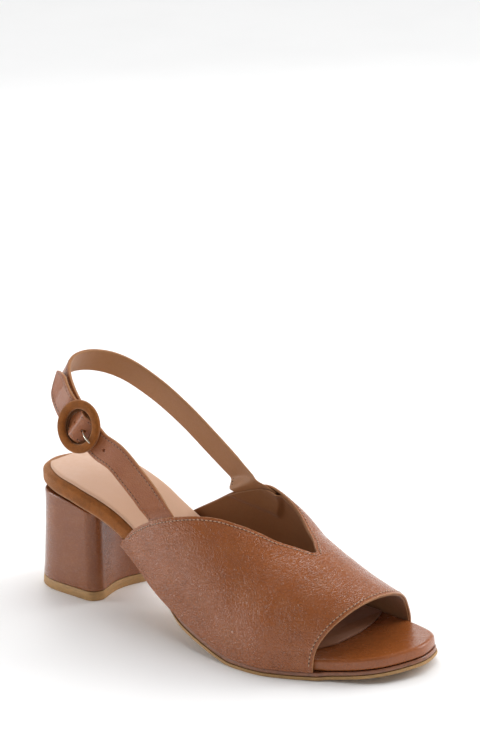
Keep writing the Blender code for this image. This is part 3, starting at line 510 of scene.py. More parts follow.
def last_point(x, girth):
    """Point of the last's surface at x, a share of the girth round from the lateral feather."""
    i = (share_of(x) - SECTION_SHARES[0]) / (SECTION_SHARES[1] - SECTION_SHARES[0])
    j = girth * (len(SECTION_GIRTHS) - 1)
    i0 = int(min(max(math.floor(i), 0), len(SECTION_SHARES) - 2))
    j0 = int(min(max(math.floor(j), 0), len(SECTION_GIRTHS) - 2))
    a, b = i - i0, j - j0
    grid = SECTION_GRID
    low = grid[i0, j0] * (1 - b) + grid[i0, j0 + 1] * b
    high = grid[i0 + 1, j0] * (1 - b) + grid[i0 + 1, j0 + 1] * b
    return low * (1 - a) + high * a


def last_normal(x, girth):
    """Outward normal of the last's surface."""
    along = last_point(x + 0.0015, girth) - last_point(x - 0.0015, girth)
    low, high = max(girth - 0.01, 0.0), min(girth + 0.01, 1.0)
    across = last_point(x, high) - last_point(x, low)
    return unit(np.cross(along, across))


def girth_length(x):
    """Length of the last's whole section at x."""
    i = int(round((share_of(x) - SECTION_SHARES[0]) / (SECTION_SHARES[1] - SECTION_SHARES[0])))
    return float(np.linalg.norm(np.diff(SECTION_GRID[i], axis=0), axis=1).sum())


# Strap roots, sewn between leather and lining: where each leaves the topline, and its slope there
ROOTS = {
    "lateral": {
        "topline": LATERAL_TOPLINE,
        "share": LATERAL_EXIT,
        "girth": between(LATERAL_TOPLINE, LATERAL_EXIT),
        "up": 1.0,
        "slope": LATERAL_SLOPE,
    },
    "medial": {
        "topline": MEDIAL_TOPLINE,
        "share": MEDIAL_EXIT,
        "girth": between(MEDIAL_TOPLINE, MEDIAL_EXIT),
        "up": -1.0,
        "slope": MEDIAL_SLOPE,
    },
}
ROOT_DEPTH = OUTER_LEATHER + GAP + STRAP_SKIVED / 2
POCKET_EXTRA = ROOT_DEPTH + STRAP_SKIVED / 2 + GAP + POCKET_LINING - VAMP_WALL


def root_place(root, out, across):
    """(x, girth) a distance out along a strap from where it leaves the topline, and a distance across it."""
    x = x_of(root["share"]) - out * math.cos(root["slope"]) + across * math.sin(root["slope"])
    rise = out * math.sin(root["slope"]) + across * math.cos(root["slope"])
    rise += base_height(root["share"]) - base_height(share_of(x))
    return x, root["girth"] + root["up"] * rise / girth_length(x_of(root["share"]))


def root_point(root, out, across, depth):
    """Point of a strap's root, a depth under the last's surface."""
    x, girth = root_place(root, out, across)
    return last_point(x, girth) - depth * last_normal(x, girth)


def clear_of_topline(root, out, across):
    """How far a point of a strap lies above the upper's edge, measured round the last."""
    x, girth = root_place(root, out, across)
    edge = between(root["topline"], share_of(x))
    return root["up"] * (girth - edge) * girth_length(x_of(root["share"]))


def pocket_swell(x, girth):
    """Extra wall at a point of the upper, where it holds a strap's root."""
    most = 0.0
    for root in ROOTS.values():
        ahead = x - x_of(root["share"])
        rise = (girth - root["girth"]) * root["up"] * girth_length(x_of(root["share"]))
        rise -= base_height(root["share"]) - base_height(share_of(x))
        out = -ahead * math.cos(root["slope"]) + rise * math.sin(root["slope"])
        across = ahead * math.sin(root["slope"]) + rise * math.cos(root["slope"])
        along = smoothstep((out + STRAP_ROOT + SWELL_MARGIN) / SWELL_FADE)
        beside = smoothstep((STRAP_WIDTH / 2 + SWELL_MARGIN - abs(across)) / SWELL_FADE)
        most = max(most, POCKET_EXTRA * along * beside)
    return most


# How fine the meshes are
REAR_ROWS = 110
NOTCH_ROWS = 12
FRONT_ROWS = 56
SKIN_RINGS = 40
ROOT_STEPS = 24
BAND_RINGS = 30
ROD_SIDES = 18
EDGE_STEPS = (1.0, 0.62, 0.34, 0.14, 0.0)
STRAP_RIM = (0.0, 0.10, 0.30, 0.60, 1.0)

# Rounded and worn cut edges, and where the stitches run in from them
LEATHER_ROUND = 0.00040
EDGE_BAND = 0.0009
VAMP_WEAR = 0.0007
STRAP_ROUND = 0.0006
STRAP_WEAR = 0.0006
STRAP_EDGE_SHARE = 0.35
STITCH_INSET = 0.0020
STRAP_STITCH_INSET = 0.0017
STITCH_LIFT = 0.00005
STRAP_STITCH_LIFT = 0.00003

# The drawn leather's low relief, and where it fades out behind the forefoot, at its edges and at its foot
RELIEF_WIDE = 0.00007
RELIEF_FINE = 0.00006
RELIEF_START = 0.42
RELIEF_RUN = 0.30
RELIEF_EDGE = 0.0006
RELIEF_EDGE_RUN = 0.004
RELIEF_FOOT = 0.10


def new_piece(name, points, faces, looks, face_looks=None, edge=None, sharp=38):
    """A mesh piece in the row frame, its faces outward; `edge` is how near its points are to a cut edge."""
    mesh = bpy.data.meshes.new(name)
    mesh.from_pydata([(float(x), float(y) - HEEL_LINE, float(z)) for x, y, z in points], [], faces)
    if edge is not None:
        mesh.attributes.new("edge", "FLOAT", "POINT").data.foreach_set("value", np.array(edge, np.float32))
    for look in looks:
        mesh.materials.append(look)
    if face_looks is not None:
        mesh.polygons.foreach_set("material_index", face_looks)
    form = bmesh.new()
    form.from_mesh(mesh)
    bmesh.ops.remove_doubles(form, verts=form.verts, dist=2e-6)
    bmesh.ops.dissolve_degenerate(form, edges=form.edges, dist=1e-7)
    bmesh.ops.recalc_face_normals(form, faces=form.faces)
    form.to_mesh(mesh)
    form.free()
    made = bpy.data.objects.new(name, mesh)
    bpy.context.scene.collection.objects.link(made)
    mesh.shade_smooth()
    mesh.set_sharp_from_angle(angle=math.radians(sharp))
    return made


def keep(piece, slot, *nodes):
    """The piece rides on the sandal's one body and stands for its CAD nodes, which it hides. `slot` is not
    used.
    """
    if nodes:
        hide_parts(*nodes)
    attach(piece, "root")
    return piece


def finished(piece):
    """The piece with its modifiers turned into a plain mesh."""
    bpy.context.view_layer.update()
    mesh = bpy.data.meshes.new_from_object(piece.evaluated_get(bpy.context.evaluated_depsgraph_get()))
    piece.modifiers.clear()
    piece.data = mesh
    return piece


def round_off(distance, radius=LEATHER_ROUND):
    """How far a rounded edge drops below its face, at a distance in from the edge."""
    if distance >= radius:
        return 0.0
    return radius - math.sqrt(radius * radius - (radius - distance) ** 2)


def vamp_rows(side, trim=0.0):
    """Rows of (x, girth, distance from the free edge) over one vamp panel, close together at its edges."""
    table = LATERAL_TOPLINE if side == "lateral" else MEDIAL_TOPLINE
    foot = 0.0 if side == "lateral" else 1.0
    first, last = table[0], table[-1]
    stations = []
    for k in range(REAR_ROWS):
        along = k / REAR_ROWS
        share = first[0] + (last[0] - first[0]) * along
        feather = first[0] - FEATHER_LEAD + (NOTCH_FEATHER - first[0] + FEATHER_LEAD) * along
        stations.append((feather, share, between(table, share)))
    for k in range(NOTCH_ROWS + 1):
        turn = math.pi / 2 * k / NOTCH_ROWS
        girth = CENTRE_GIRTH + (last[1] - CENTRE_GIRTH) * math.cos(turn)
        feather = NOTCH_FEATHER + NOTCH_DEPTH * k / NOTCH_ROWS
        stations.append((feather, last[0] + NOTCH_DEPTH * math.sin(turn), girth))
    rows = []
    for feather, share, girth in stations:
        size = abs(girth - foot) * girth_length(x_of(share))
        rows.append([])
        for v in ring_shares(size):
            v *= 1 - min(trim / size, 0.5)
            x = x_of(feather + (share - feather) * v)
            rows[-1].append((x, foot + (girth - foot) * v, (1 - v) * size - trim))
    feather0, share0 = stations[-1][0], stations[-1][1]
    toe_feather, toe_share = between(TOE_EDGE, foot), between(TOE_EDGE, CENTRE_GIRTH)
    reach = (toe_share - share0) * SOLE_LENGTH
    size = abs(CENTRE_GIRTH - foot) * girth_length(x_of(share0))
    for along in front_shares(reach):
        along *= 1 - trim / reach
        rows.append([])
        for v in ring_shares(size):
            girth = foot + (CENTRE_GIRTH - foot) * v
            feather = feather0 + (toe_feather - feather0) * along
            share = share0 + (toe_share - share0) * along
            toe_line = toe_feather + (toe_share - toe_feather) * v
            x = x_of(feather + (share - feather) * v + (between(TOE_EDGE, girth) - toe_line) * along**2)
            rows[-1].append((x, girth, (1 - along) * reach - trim))
    return rows


def ring_shares(size):
    """Shares from 0 to 1 of a line of this size, even, then close together in the band at its far end."""
    band = min(EDGE_BAND / size, 0.4)
    return [(1 - band) * k / SKIN_RINGS for k in range(SKIN_RINGS)] + [1 - band * step for step in EDGE_STEPS]


def front_shares(size):
    band = EDGE_BAND / size
    steps = [(1 - band) * k / FRONT_ROWS for k in range(1, FRONT_ROWS)]
    return steps + [1 - band * step for step in EDGE_STEPS]


def crinkle(point, share):
    """Low relief of the drawn leather at a point, in this share of its full height."""
    wide = noise.noise(Vector(point) * 190.0)
    fine = noise.noise(Vector((point[0] * 420.0, point[1] * 330.0, point[2] * 420.0)))
    return (RELIEF_WIDE * wide + RELIEF_FINE * fine) * share


def vamp_skin(name, looks, outer, inner, trim=0.0, relief=False):
    """One layer of the vamp between two depths under the last's surface, as a closed shell."""
    points, faces, face_looks, edges = [], [], [], []
    for side in ("lateral", "medial"):
        rows = vamp_rows(side, trim)
        wide, high = len(rows), len(rows[0])
        start, layer = len(points), wide * high
        fine_start = REAR_ROWS + NOTCH_ROWS
        for skin in (0, 1):
            for row in rows:
                for x, girth, distance in row:
                    swell = pocket_swell(x, girth) if not relief else 0.0
                    drop = round_off(max(distance, 0.0)) * (1 if skin == 0 else -0.6)
                    depth = (outer, inner)[skin] + swell + drop
                    facing = last_normal(x, girth)
                    point = last_point(x, girth) - depth * facing
                    if relief and skin == 0:
                        toe = smoothstep((share_of(x) - RELIEF_START) / RELIEF_RUN)
                        toe *= smoothstep((distance - RELIEF_EDGE) / RELIEF_EDGE_RUN)
                        foot = smoothstep(min(girth, 1 - girth) / RELIEF_FOOT)
                        point = point + crinkle(point, toe * foot) * facing
                    points.append(point)
                    edges.append(1.0 if skin else 1 - smoothstep(distance / VAMP_WEAR))

        def corner(i, j, skin):
            return start + skin * layer + i * high + j

        for i in range(wide - 1):
            for j in range(high - 1):
                corners = ((i, j), (i + 1, j), (i + 1, j + 1), (i, j + 1))
                for skin in (0, 1):
                    faces.append(tuple(corner(a, b, skin) for a, b in corners))
                    face_looks.append(skin)
            rims = [0] + ([high - 1] if i < fine_start else [])
            for j in rims:
                faces.append((corner(i, j, 0), corner(i + 1, j, 0), corner(i + 1, j, 1), corner(i, j, 1)))
                face_looks.append(1)
        for j in range(high - 1):
            for i in (0, wide - 1):
                faces.append((corner(i, j, 0), corner(i, j + 1, 0), corner(i, j + 1, 1), corner(i, j, 1)))
                face_looks.append(1)
    return new_piece(name, points, faces, looks, face_looks, edges, sharp=50)


def shifted(x, girth, move):
    """(x, girth) of the surface point reached by a small move in space."""
    step = 1e-4
    step_x = (last_point(x + step, girth) - last_point(x - step, girth)) / (2 * step)
    low, high = max(girth - 10 * step, 0.0), min(girth + 10 * step, 1.0)
    step_g = (last_point(x, high) - last_point(x, low)) / (high - low)
    change = np.linalg.lstsq(np.stack([step_x, step_g], 1), move, rcond=None)[0]
    return x + change[0], min(max(girth + change[1], 0.0), 1.0)


def seam_row(line, inward):
    """A stitch row as (point, facing), a little way in from an edge line of (x, girth) on the last."""
    row = []
    for k, (x, girth) in enumerate(line):
        low, high = line[max(k - 1, 0)], line[min(k + 1, len(line) - 1)]
        run = unit(last_point(*high) - last_point(*low))
        facing = last_normal(x, girth)
        side = unit(np.cross(facing, run)) * inward
        x, girth = shifted(x, girth, side * STITCH_INSET)
        facing = last_normal(x, girth)
        row.append((last_point(x, girth) + STITCH_LIFT * facing, facing))
    return row


def vamp_seams():
    """Stitch rows along both toplines, round the notch and along the toe's edge."""
    rows = []
    for side, inward in (("lateral", -1), ("medial", 1)):
        edge = [row[-1][:2] for row in vamp_rows(side)[6 : REAR_ROWS + NOTCH_ROWS - 2 : 2]]
        rows.append(seam_row(edge, inward))
    toe = [(x_of(between(TOE_EDGE, g)), g) for g in np.linspace(0.03, 0.97, 60)]
    rows.append(seam_row(toe, 1))
    return rows


# Straps
def ring_point(along, across, out):
    """Point in the ring's frame: along the strap towards the toe, up across it, outward from the foot."""
    return RING_CENTRE + along * RING_ALONG + across * RING_ACROSS + out * RING_OUT


def loop_point(along, y, up=0.0):
    """Point of the loop's slanting plane: along it from the ring towards the toe, at a given y."""
    return RING_CENTRE + along * LOOP_ALONG + up * LOOP_UP + np.array([0.0, y - RING_CENTRE[1], 0.0])


def stepped_path(rows, spacing):
    """Lengths along a smooth curve through rows of position and lean, and the curve's rows there."""
    rows = [np.array(row, float) for row in rows]
    rows = [2 * rows[0] - rows[1], *rows, 2 * rows[-1] - rows[-2]]
    path = [rows[1]]
    for number in range(1, len(rows) - 2):
        steps = max(int(round(np.linalg.norm(rows[number + 1][:3] - rows[number][:3]) / spacing)), 1)
        path += [smooth_through(rows, number + k / steps) for k in range(1, steps)] + [rows[number + 1]]
    path = np.array(path)
    lengths = np.concatenate([[0.0], np.cumsum(np.linalg.norm(np.diff(path[:, :3], axis=0), axis=1))])
    return lengths, path


def strap_stations(rows, turn, spacing):
    """(length, centre, width's direction, outward facing, forward) along a strap, its root included."""
    lengths, path = stepped_path(rows, spacing)
    stations = []
    for k, length in enumerate(lengths):
        before, after = path[max(k - 1, 0)][:3], path[min(k + 1, len(path) - 1)][:3]
        forward = unit(after - before)
        inward = turn * np.cross(forward, LOOP_UP)
        width = LOOP_UP + math.tan(math.radians(path[k][3])) * unit(inward)
        held = min(max(path[k][4], 0.0), 1.0)
        width = (1 - held) * unit(width) + held * RING_ACROSS
        width = unit(width - forward * (width @ forward))
        stations.append((length, path[k][:3], width, turn * np.cross(width, forward), forward))
    _, point, width, facing, forward = stations[0]
    for k in range(ROOT_STEPS):
        out = -STRAP_ROOT * (k + 1) / ROOT_STEPS
        stations.insert(0, (out, point + out * forward, width, facing, forward))
    return stations, lengths[-1]


def strap_point(root, station, across):
    """(middle point, facing) of a strap at a station, a distance across it."""
    out, centre, width, facing, _ = station
    blend = smoothstep((clear_of_topline(root, out, across) - BLEND_START) / BLEND_LENGTH)
    middle, outward = blend * (centre + across * width), blend * facing
    if blend < 1:
        middle = middle + (1 - blend) * root_point(root, out, across, ROOT_DEPTH)
        outward = outward + (1 - blend) * last_normal(*root_place(root, out, across))
    return middle, unit(outward)


def strap_band(name, looks, root, stations, total, thickness_at, width_at):
    """A leather band with softly rounded edges, its faces and its cut edges told apart."""
    points, faces, face_looks, edges = [], [], [], []
    for station in stations:
        out = station[0]
        half_width = width_at(out, total) / 2
        half_thickness = thickness_at(out, total) / 2
        radius = min(STRAP_ROUND, 0.45 * half_width)
        ins = [radius * step for step in STRAP_RIM]
        ins += [radius + (2 * half_width - 2 * radius) * k / BAND_RINGS for k in range(1, BAND_RINGS)]
        ins += [2 * half_width - radius * step for step in reversed(STRAP_RIM)]
        tops, bottoms = [], []
        for into in ins:
            from_edge = min(into, 2 * half_width - into)
            thick = half_thickness
            if from_edge < radius:
                rounded = math.sqrt(max(1 - (1 - from_edge / radius) ** 2, 0.0))
                thick *= STRAP_EDGE_SHARE + (1 - STRAP_EDGE_SHARE) * rounded
            middle, outward = strap_point(root, station, into - half_width)
            tops.append(middle + thick * outward)
            bottoms.append(middle - thick * outward)
            edges.append(1 - smoothstep(from_edge / STRAP_WEAR))
        edges += edges[-len(ins):]
        points += tops + bottoms[::-1]
    ring = 2 * len(ins)
    for s in range(len(stations) - 1):
        for k in range(ring):
            n = (k + 1) % ring
            faces.append((s * ring + k, s * ring + n, (s + 1) * ring + n, (s + 1) * ring + k))
            face_looks.append(0 if k < len(ins) - 1 else 1 if len(ins) <= k < ring - 1 else 2)
    for low in (0, (len(stations) - 1) * ring):
        for k in range(len(ins) - 1):
            faces.append((low + k, low + k + 1, low + ring - 2 - k, low + ring - 1 - k))
            face_looks.append(2)
    return new_piece(name, points, faces, looks, face_looks, edges, sharp=50)


def strap_seams(root, stations, total, thickness_at, width_at, first, last):
    """Stitch rows along both edges of a strap's outer face."""
    rows = []
    for side in (1, -1):
        row = []
        for station in stations[::2]:
            out = station[0]
            if first <= out <= total - last:
                across = side * max(width_at(out, total) / 2 - STRAP_STITCH_INSET, 0.0002)
                middle, outward = strap_point(root, station, across)
                lift = thickness_at(out, total) / 2 + STRAP_STITCH_LIFT
                row.append((middle + lift * outward, outward))
        rows.append(row)
    return rows


def root_skive(out):
    """Strap thickness near its root: thin in the pocket, whole once it is clear of the topline."""
    return STRAP_SKIVED + (STRAP_THICKNESS - STRAP_SKIVED) * smoothstep((out - 0.001) / 0.007)


def buckle_thickness(out, total):
    return root_skive(out)


def tail_width(out, total):
    """Full width, then the pointed tail."""
    left = (total - out) / TAIL_POINT
    return STRAP_WIDTH if left >= 1 else TAIL_TIP + (STRAP_WIDTH - TAIL_TIP) * max(left, 0.0) ** 0.8


def bar_skive(out, total):
    """Sling strap's thickness: skived at its root and again where it wraps the bar."""
    wrapped = smoothstep((BAR_SKIVE_LENGTH - (total - out)) / (BAR_SKIVE_LENGTH / 2))
    return root_skive(out - MEDIAL_SKIVE_DELAY) * (1 - wrapped) + BAR_SKIVED * wrapped


def sling_width(out, total):
    return STRAP_WIDTH - SLING_NARROWER


def lateral_rows():
    rows = [(*root_point(ROOTS["lateral"], 0.0, 0.0, ROOT_DEPTH), 17.0, 0.0)]
    rows += [(x, y * BALL_WIDTH, z, lean, 0.0) for x, y, z, lean in LATERAL_ROUTE]
    rows += [(*ring_point(along, 0.0, out), RING_LEAN, 1.0) for along, out in THROUGH_RING]
    return rows + [(*loop_point(along, y * BALL_WIDTH, up), lean, 0.0) for along, y, up, lean in TAIL_ROUTE]


def medial_rows():
    rows = [(*root_point(ROOTS["medial"], 0.0, 0.0, ROOT_DEPTH), 11.0, 0.0)]
    rows += [(*loop_point(along, y * BALL_WIDTH, up), lean, 0.0) for along, y, up, lean in SLING_ROUTE]
    return rows + [(*ring_point(along, 0.0, out), RING_LEAN, 1.0) for along, out in ROUND_BAR]


def rod(name, look, points, radii, sides=ROD_SIDES):
    """A round rod through points, with a radius at each."""
    mesh_points, faces = [], []
    side = None
    for k, point in enumerate(points):
        forward = unit(points[min(k + 1, len(points) - 1)] - points[max(k - 1, 0)])
        if side is None:
            side = RING_ACROSS if abs(forward @ RING_ACROSS) < 0.9 else RING_OUT
        side = unit(side - forward * (side @ forward))
        other = np.cross(forward, side)
        for s in range(sides):
            turn = 2 * math.pi * s / sides
            mesh_points.append(point + radii[k] * (math.cos(turn) * side + math.sin(turn) * other))
    for k in range(len(points) - 1):
        for s in range(sides):
            n = (s + 1) % sides
            faces.append((k * sides + s, k * sides + n, (k + 1) * sides + n, (k + 1) * sides + s))
    faces += [tuple(range(sides)), tuple(range((len(points) - 1) * sides, len(points) * sides))]
    return new_piece(name, mesh_points, faces, [look])


def cut_with(piece, guides):
    """Take guides' volumes out of a piece and remove them."""
    for guide in guides:
        change = piece.modifiers.new("cut", "BOOLEAN")
        change.operation = "DIFFERENCE"
        change.object = guide
        change.solver = "EXACT"
    finished(piece)
    for guide in guides:
        bpy.data.objects.remove(guide)
    return piece


# Sole
def value_at(value, share):
    return value(share) if callable(value) else value


def sole_layer(name, look, start, end, rings, lines):
    """A layer of the sole between two shares of the length, its rings from the lowest to the highest as
    (inset from the outline, rise over the footbed's underside); either may follow the share."""
    points, faces = [], []
    for inset, rise in rings:
        low, high = (row_at(value_at(limit, value_at(rise, 0.3))) for limit in (start, end))
        ats = [low + (high - low) * (0.5 - 0.5 * math.cos(math.pi * k / (lines - 1))) for k in range(lines)]
        for side in (0, 1):
            for at in ats:
                here = outline_pair(at)[side][0]
                share, y = inset_point(at, side, value_at(inset, here))
                points.append(place(share, y, value_at(rise, here)))
    ring = 2 * lines
    for r in range(len(rings) - 1):
        low, high = r * ring, (r + 1) * ring
        for k in range(lines - 1):
            faces.append((low + k, low + k + 1, high + k + 1, high + k))
            faces.append((low + lines + k + 1, low + lines + k, high + lines + k, high + lines + k + 1))
        for k in (0, lines - 1):
            faces.append((low + k, low + lines + k, high + lines + k, high + k))
    for low in (0, (len(rings) - 1) * ring):
        for k in range(lines - 1):
            faces.append((low + k, low + k + 1, low + lines + k + 1, low + lines + k))
    return new_piece(name, points, faces, [look], sharp=40)


def footbed_thickness(share):
    rows = [(0.0, FOOTBED_REAR_THICKNESS), (0.37, FOOTBED_REAR_THICKNESS)]
    rows += [(0.64, FOOTBED_TOE_THICKNESS), (1.0, FOOTBED_TOE_THICKNESS)]
    return between(rows, share)


def split_at(rise):
    """Share of the length where the footbed's two covers meet, leaning forward with the rise."""
    return SPLIT_SHARE + SPLIT_LEAN * rise / FOOTBED_REAR_THICKNESS


def platform_start(rise):
    """Where the front cover starts, a running gap ahead of the rear one."""
    return split_at(rise) + GAP / SOLE_LENGTH


def waist(share):
    """1 at the sole's waist behind the vamp, 0 under the ball and the toe."""
    return 1 - smoothstep((share - WAIST_SHARE) / (TREAD_SHARE - WAIST_SHARE))


def sole_side(share):
    """Inset of the sole's side: under the rand at the waist, flush with the upper, then with the toe."""
    past_toe_edge = smoothstep((share - TOE_EDGE[0][1]) / TOE_EDGE_FADE)
    reach = UPPER_REACH + (PLATFORM_SHOW - UPPER_REACH) * past_toe_edge
    return -reach + (reach + WAIST_INSET) * waist(share)


def footbed_rings(thickness, roundness, tuck):
    """Rings of a footbed cover: tucked in below, rounded above, with a flat margin round its top."""
    rings = [(tuck + 0.0012, lambda share: 0.0)]
    for angle in range(0, 91, 15):
        turn = math.radians(angle)
        rings.append((tuck * (1 - math.sin(turn)), lambda share, turn=turn: tuck * (1 - math.cos(turn))))
    for angle in range(0, 91, 11):
        turn = math.radians(min(angle, 90))
        inset, drop = roundness * (1 - math.cos(turn)), roundness * (1 - math.sin(turn))
        rings.append((inset, lambda share, drop=drop: thickness(share) - drop))
    return rings + [(roundness + 0.0014, thickness)]


def sock_inset(share):
    """The sock lies further in from the edge round the heel."""
    return SOCK_MARGIN + (SOCK_HEEL_MARGIN - SOCK_MARGIN) * (1 - smoothstep(share / SOCK_HEEL_FADE))


def before_edge(name, look, rows, reach, low, high):
    """Guide that stands in front of a curved edge, from its rows of (y, x) forward by `reach`."""
    steps = 60
    edge = [(between(rows, y), y) for y in np.linspace(rows[0][0], rows[-1][0], steps + 1)]
    loop = edge + [(reach, y) for x, y in reversed(edge)]
    points = [(x, y, z) for z in (low, high) for x, y in loop]
    count = len(loop)
    faces = [(k, (k + 1) % count, count + (k + 1) % count, count + k) for k in range(count)]
    for base in (0, count):
        faces += [(base + k, base + k + 1, base + count - 2 - k, base + count - 1 - k) for k in range(steps)]
    return new_piece(name, points, faces, [look])


def heel_ring(height, grow=0.0):
    """The heel's outline at a height: a rounded back, two sides, two corners and a hollow breast."""
    flare = HEEL_FLARE * min(max(1 - height / HEEL_RISE, 0.0), 1.0) ** 1.4
    half = HEEL_WIDTH / 2 + 0.2 * flare + grow
    back = HEEL_BACK + flare + grow
    front = HEEL_LENGTH - HEEL_BACK - HEEL_FLARE + grow
    inner = half - HEEL_CORNER
    half_ring = []
    for y in np.linspace(0.0, inner, 22)[:-1]:
        half_ring.append((front - BREAST_HOLLOW * math.cos(math.pi / 2 * y / inner) ** 1.2, y))
    for k in range(14):
        turn = math.pi / 2 * k / 13
        half_ring.append((front + HEEL_CORNER * (math.cos(turn) - 1), inner + HEEL_CORNER * math.sin(turn)))
    for k in range(48):
        turn = math.pi / 2 * k / 47
        x = HEEL_MIDDLE - (back + HEEL_MIDDLE) * math.sin(turn) ** 0.8
        half_ring.append((x, half * max(math.cos(turn), 0.0) ** 0.8))
    ring = half_ring + [(x, -y) for x, y in reversed(half_ring[1:-1])]
    return [(x, HEEL_LINE + y) for x, y in ring]


def stacked(name, look, rings):
    """A closed piece through rings of points, lowest first."""
    count = len(rings[0])
    points = [point for ring in rings for point in ring]
    faces = [tuple(range(count)), tuple(range((len(rings) - 1) * count, len(rings) * count))]
    for r in range(len(rings) - 1):
        for k in range(count):
            n = (k + 1) % count
            faces.append((r * count + k, r * count + n, (r + 1) * count + n, (r + 1) * count + k))
    return new_piece(name, points, faces, [look], sharp=40)


# Materials
def add(tree, kind, sockets=None, **settings):
    """A node with its settings; `sockets` gives each input a value or another node's output."""
    made = tree.nodes.new(kind)
    for name, value in settings.items():
        setattr(made, name, value)
    for key, value in (sockets or {}).items():
        if isinstance(value, bpy.types.NodeSocket):
            tree.links.new(value, made.inputs[key])
        else:
            made.inputs[key].default_value = value
    return made


def group(name, inputs, outputs):
    """A shader node group with its sockets, and its input and output nodes."""
    tree = bpy.data.node_groups.new(name, "ShaderNodeTree")
    for label, kind, default in inputs:
        socket = tree.interface.new_socket(name=label, in_out="INPUT", socket_type="NodeSocket" + kind)
        if default is not None:
            socket.default_value = default
    for label, kind in outputs:
        tree.interface.new_socket(name=label, in_out="OUTPUT", socket_type="NodeSocket" + kind)
    return tree, tree.nodes.new("NodeGroupInput").outputs, tree.nodes.new("NodeGroupOutput").inputs


def maths(tree, operation, a, b=0.0, clamp=False):
    return add(tree, "ShaderNodeMath", {0: a, 1: b}, operation=operation, use_clamp=clamp).outputs[0]


def vectors(tree, operation, sockets):
    return add(tree, "ShaderNodeVectorMath", sockets, operation=operation).outputs[0]


def ramp(tree, value, low, high, to_low=0.0, to_high=1.0):
    """A smooth step of a value from one pair of levels to another."""
    sockets = {"Value": value, "From Min": low, "From Max": high, "To Min": to_low, "To Max": to_high}
    return add(tree, "ShaderNodeMapRange", sockets, interpolation_type="SMOOTHSTEP").outputs["Result"]


def mixed(tree, share, a, b, blend="MIX"):
    made = tree.nodes.new("ShaderNodeMix")
    made.data_type, made.blend_type = "RGBA", blend
    for socket, value in ((made.inputs[0], share), (made.inputs[6], a), (made.inputs[7], b)):
        if isinstance(value, bpy.types.NodeSocket):
            tree.links.new(value, socket)
        else:
            socket.default_value = value
    return made.outputs[2]


def cloud(tree, vector, scale, detail=2.0, rough=0.5):
    sockets = {"Vector": vector, "Scale": scale, "Detail": detail, "Roughness": rough}
    return add(tree, "ShaderNodeTexNoise", sockets).outputs["Fac"]


def grain_group():
    """Drawn leather: small cells between creases, over a finer set and pores. Size is a cell's width."""
    inputs = [("Vector", "Vector", None), ("Size", "Float", 0.0018), ("Creasing", "Float", 0.5)]
    tree, given, result = group("leather grain", inputs, [("Height", "Float"), ("Crease", "Float")])
    per_metre = maths(tree, "DIVIDE", 1.0, given["Size"])
    bend = add(tree, "ShaderNodeTexNoise", {"Vector": given["Vector"], "Scale": 260.0, "Detail": 3.0})
    bend = vectors(tree, "SUBTRACT", {0: bend.outputs["Color"], 1: (0.5, 0.5, 0.5)})
    bend = vectors(tree, "SCALE", {0: bend, "Scale": 0.0022})
    bent = vectors(tree, "ADD", {0: given["Vector"], 1: bend})
    drawn = add(tree, "ShaderNodeMapping", {"Vector": bent, "Scale": (1.0, 0.62, 1.25)}).outputs[0]
    cells = {"Vector": drawn, "Scale": per_metre, "Randomness": 1.0}
    large = add(tree, "ShaderNodeTexVoronoi", cells, feature="DISTANCE_TO_EDGE").outputs["Distance"]
    finer = {"Vector": bent, "Scale": maths(tree, "MULTIPLY", per_metre, 2.3)}
    small = add(tree, "ShaderNodeTexVoronoi", finer, feature="DISTANCE_TO_EDGE").outputs["Distance"]
    large, small = ramp(tree, large, 0.0, 0.22), ramp(tree, small, 0.0, 0.30)
    patch = ramp(tree, cloud(tree, given["Vector"], 70.0, 2.0), 0.25, 0.70, 0.60, 1.0)
    depth = maths(tree, "MULTIPLY", patch, given["Creasing"])
    hills = cloud(tree, bent, maths(tree, "MULTIPLY", per_metre, 0.55), 3.0, 0.6)
    pores = cloud(tree, given["Vector"], 4200.0, 1.0)
    height = maths(tree, "MULTIPLY", large, depth)
    height = maths(tree, "ADD", height, maths(tree, "MULTIPLY", small, maths(tree, "MULTIPLY", depth, 0.45)))
    height = maths(tree, "ADD", height, maths(tree, "MULTIPLY", hills, maths(tree, "MULTIPLY", depth, 1.3)))
    tree.links.new(maths(tree, "ADD", height, maths(tree, "MULTIPLY", pores, 0.03)), result["Height"])
    # Crease mask, used for the painted shade in the creases
    crease = maths(tree, "SUBTRACT", 1.0, maths(tree, "MULTIPLY", large, small))
    tree.links.new(maths(tree, "MULTIPLY", crease, depth), result["Crease"])
    return tree


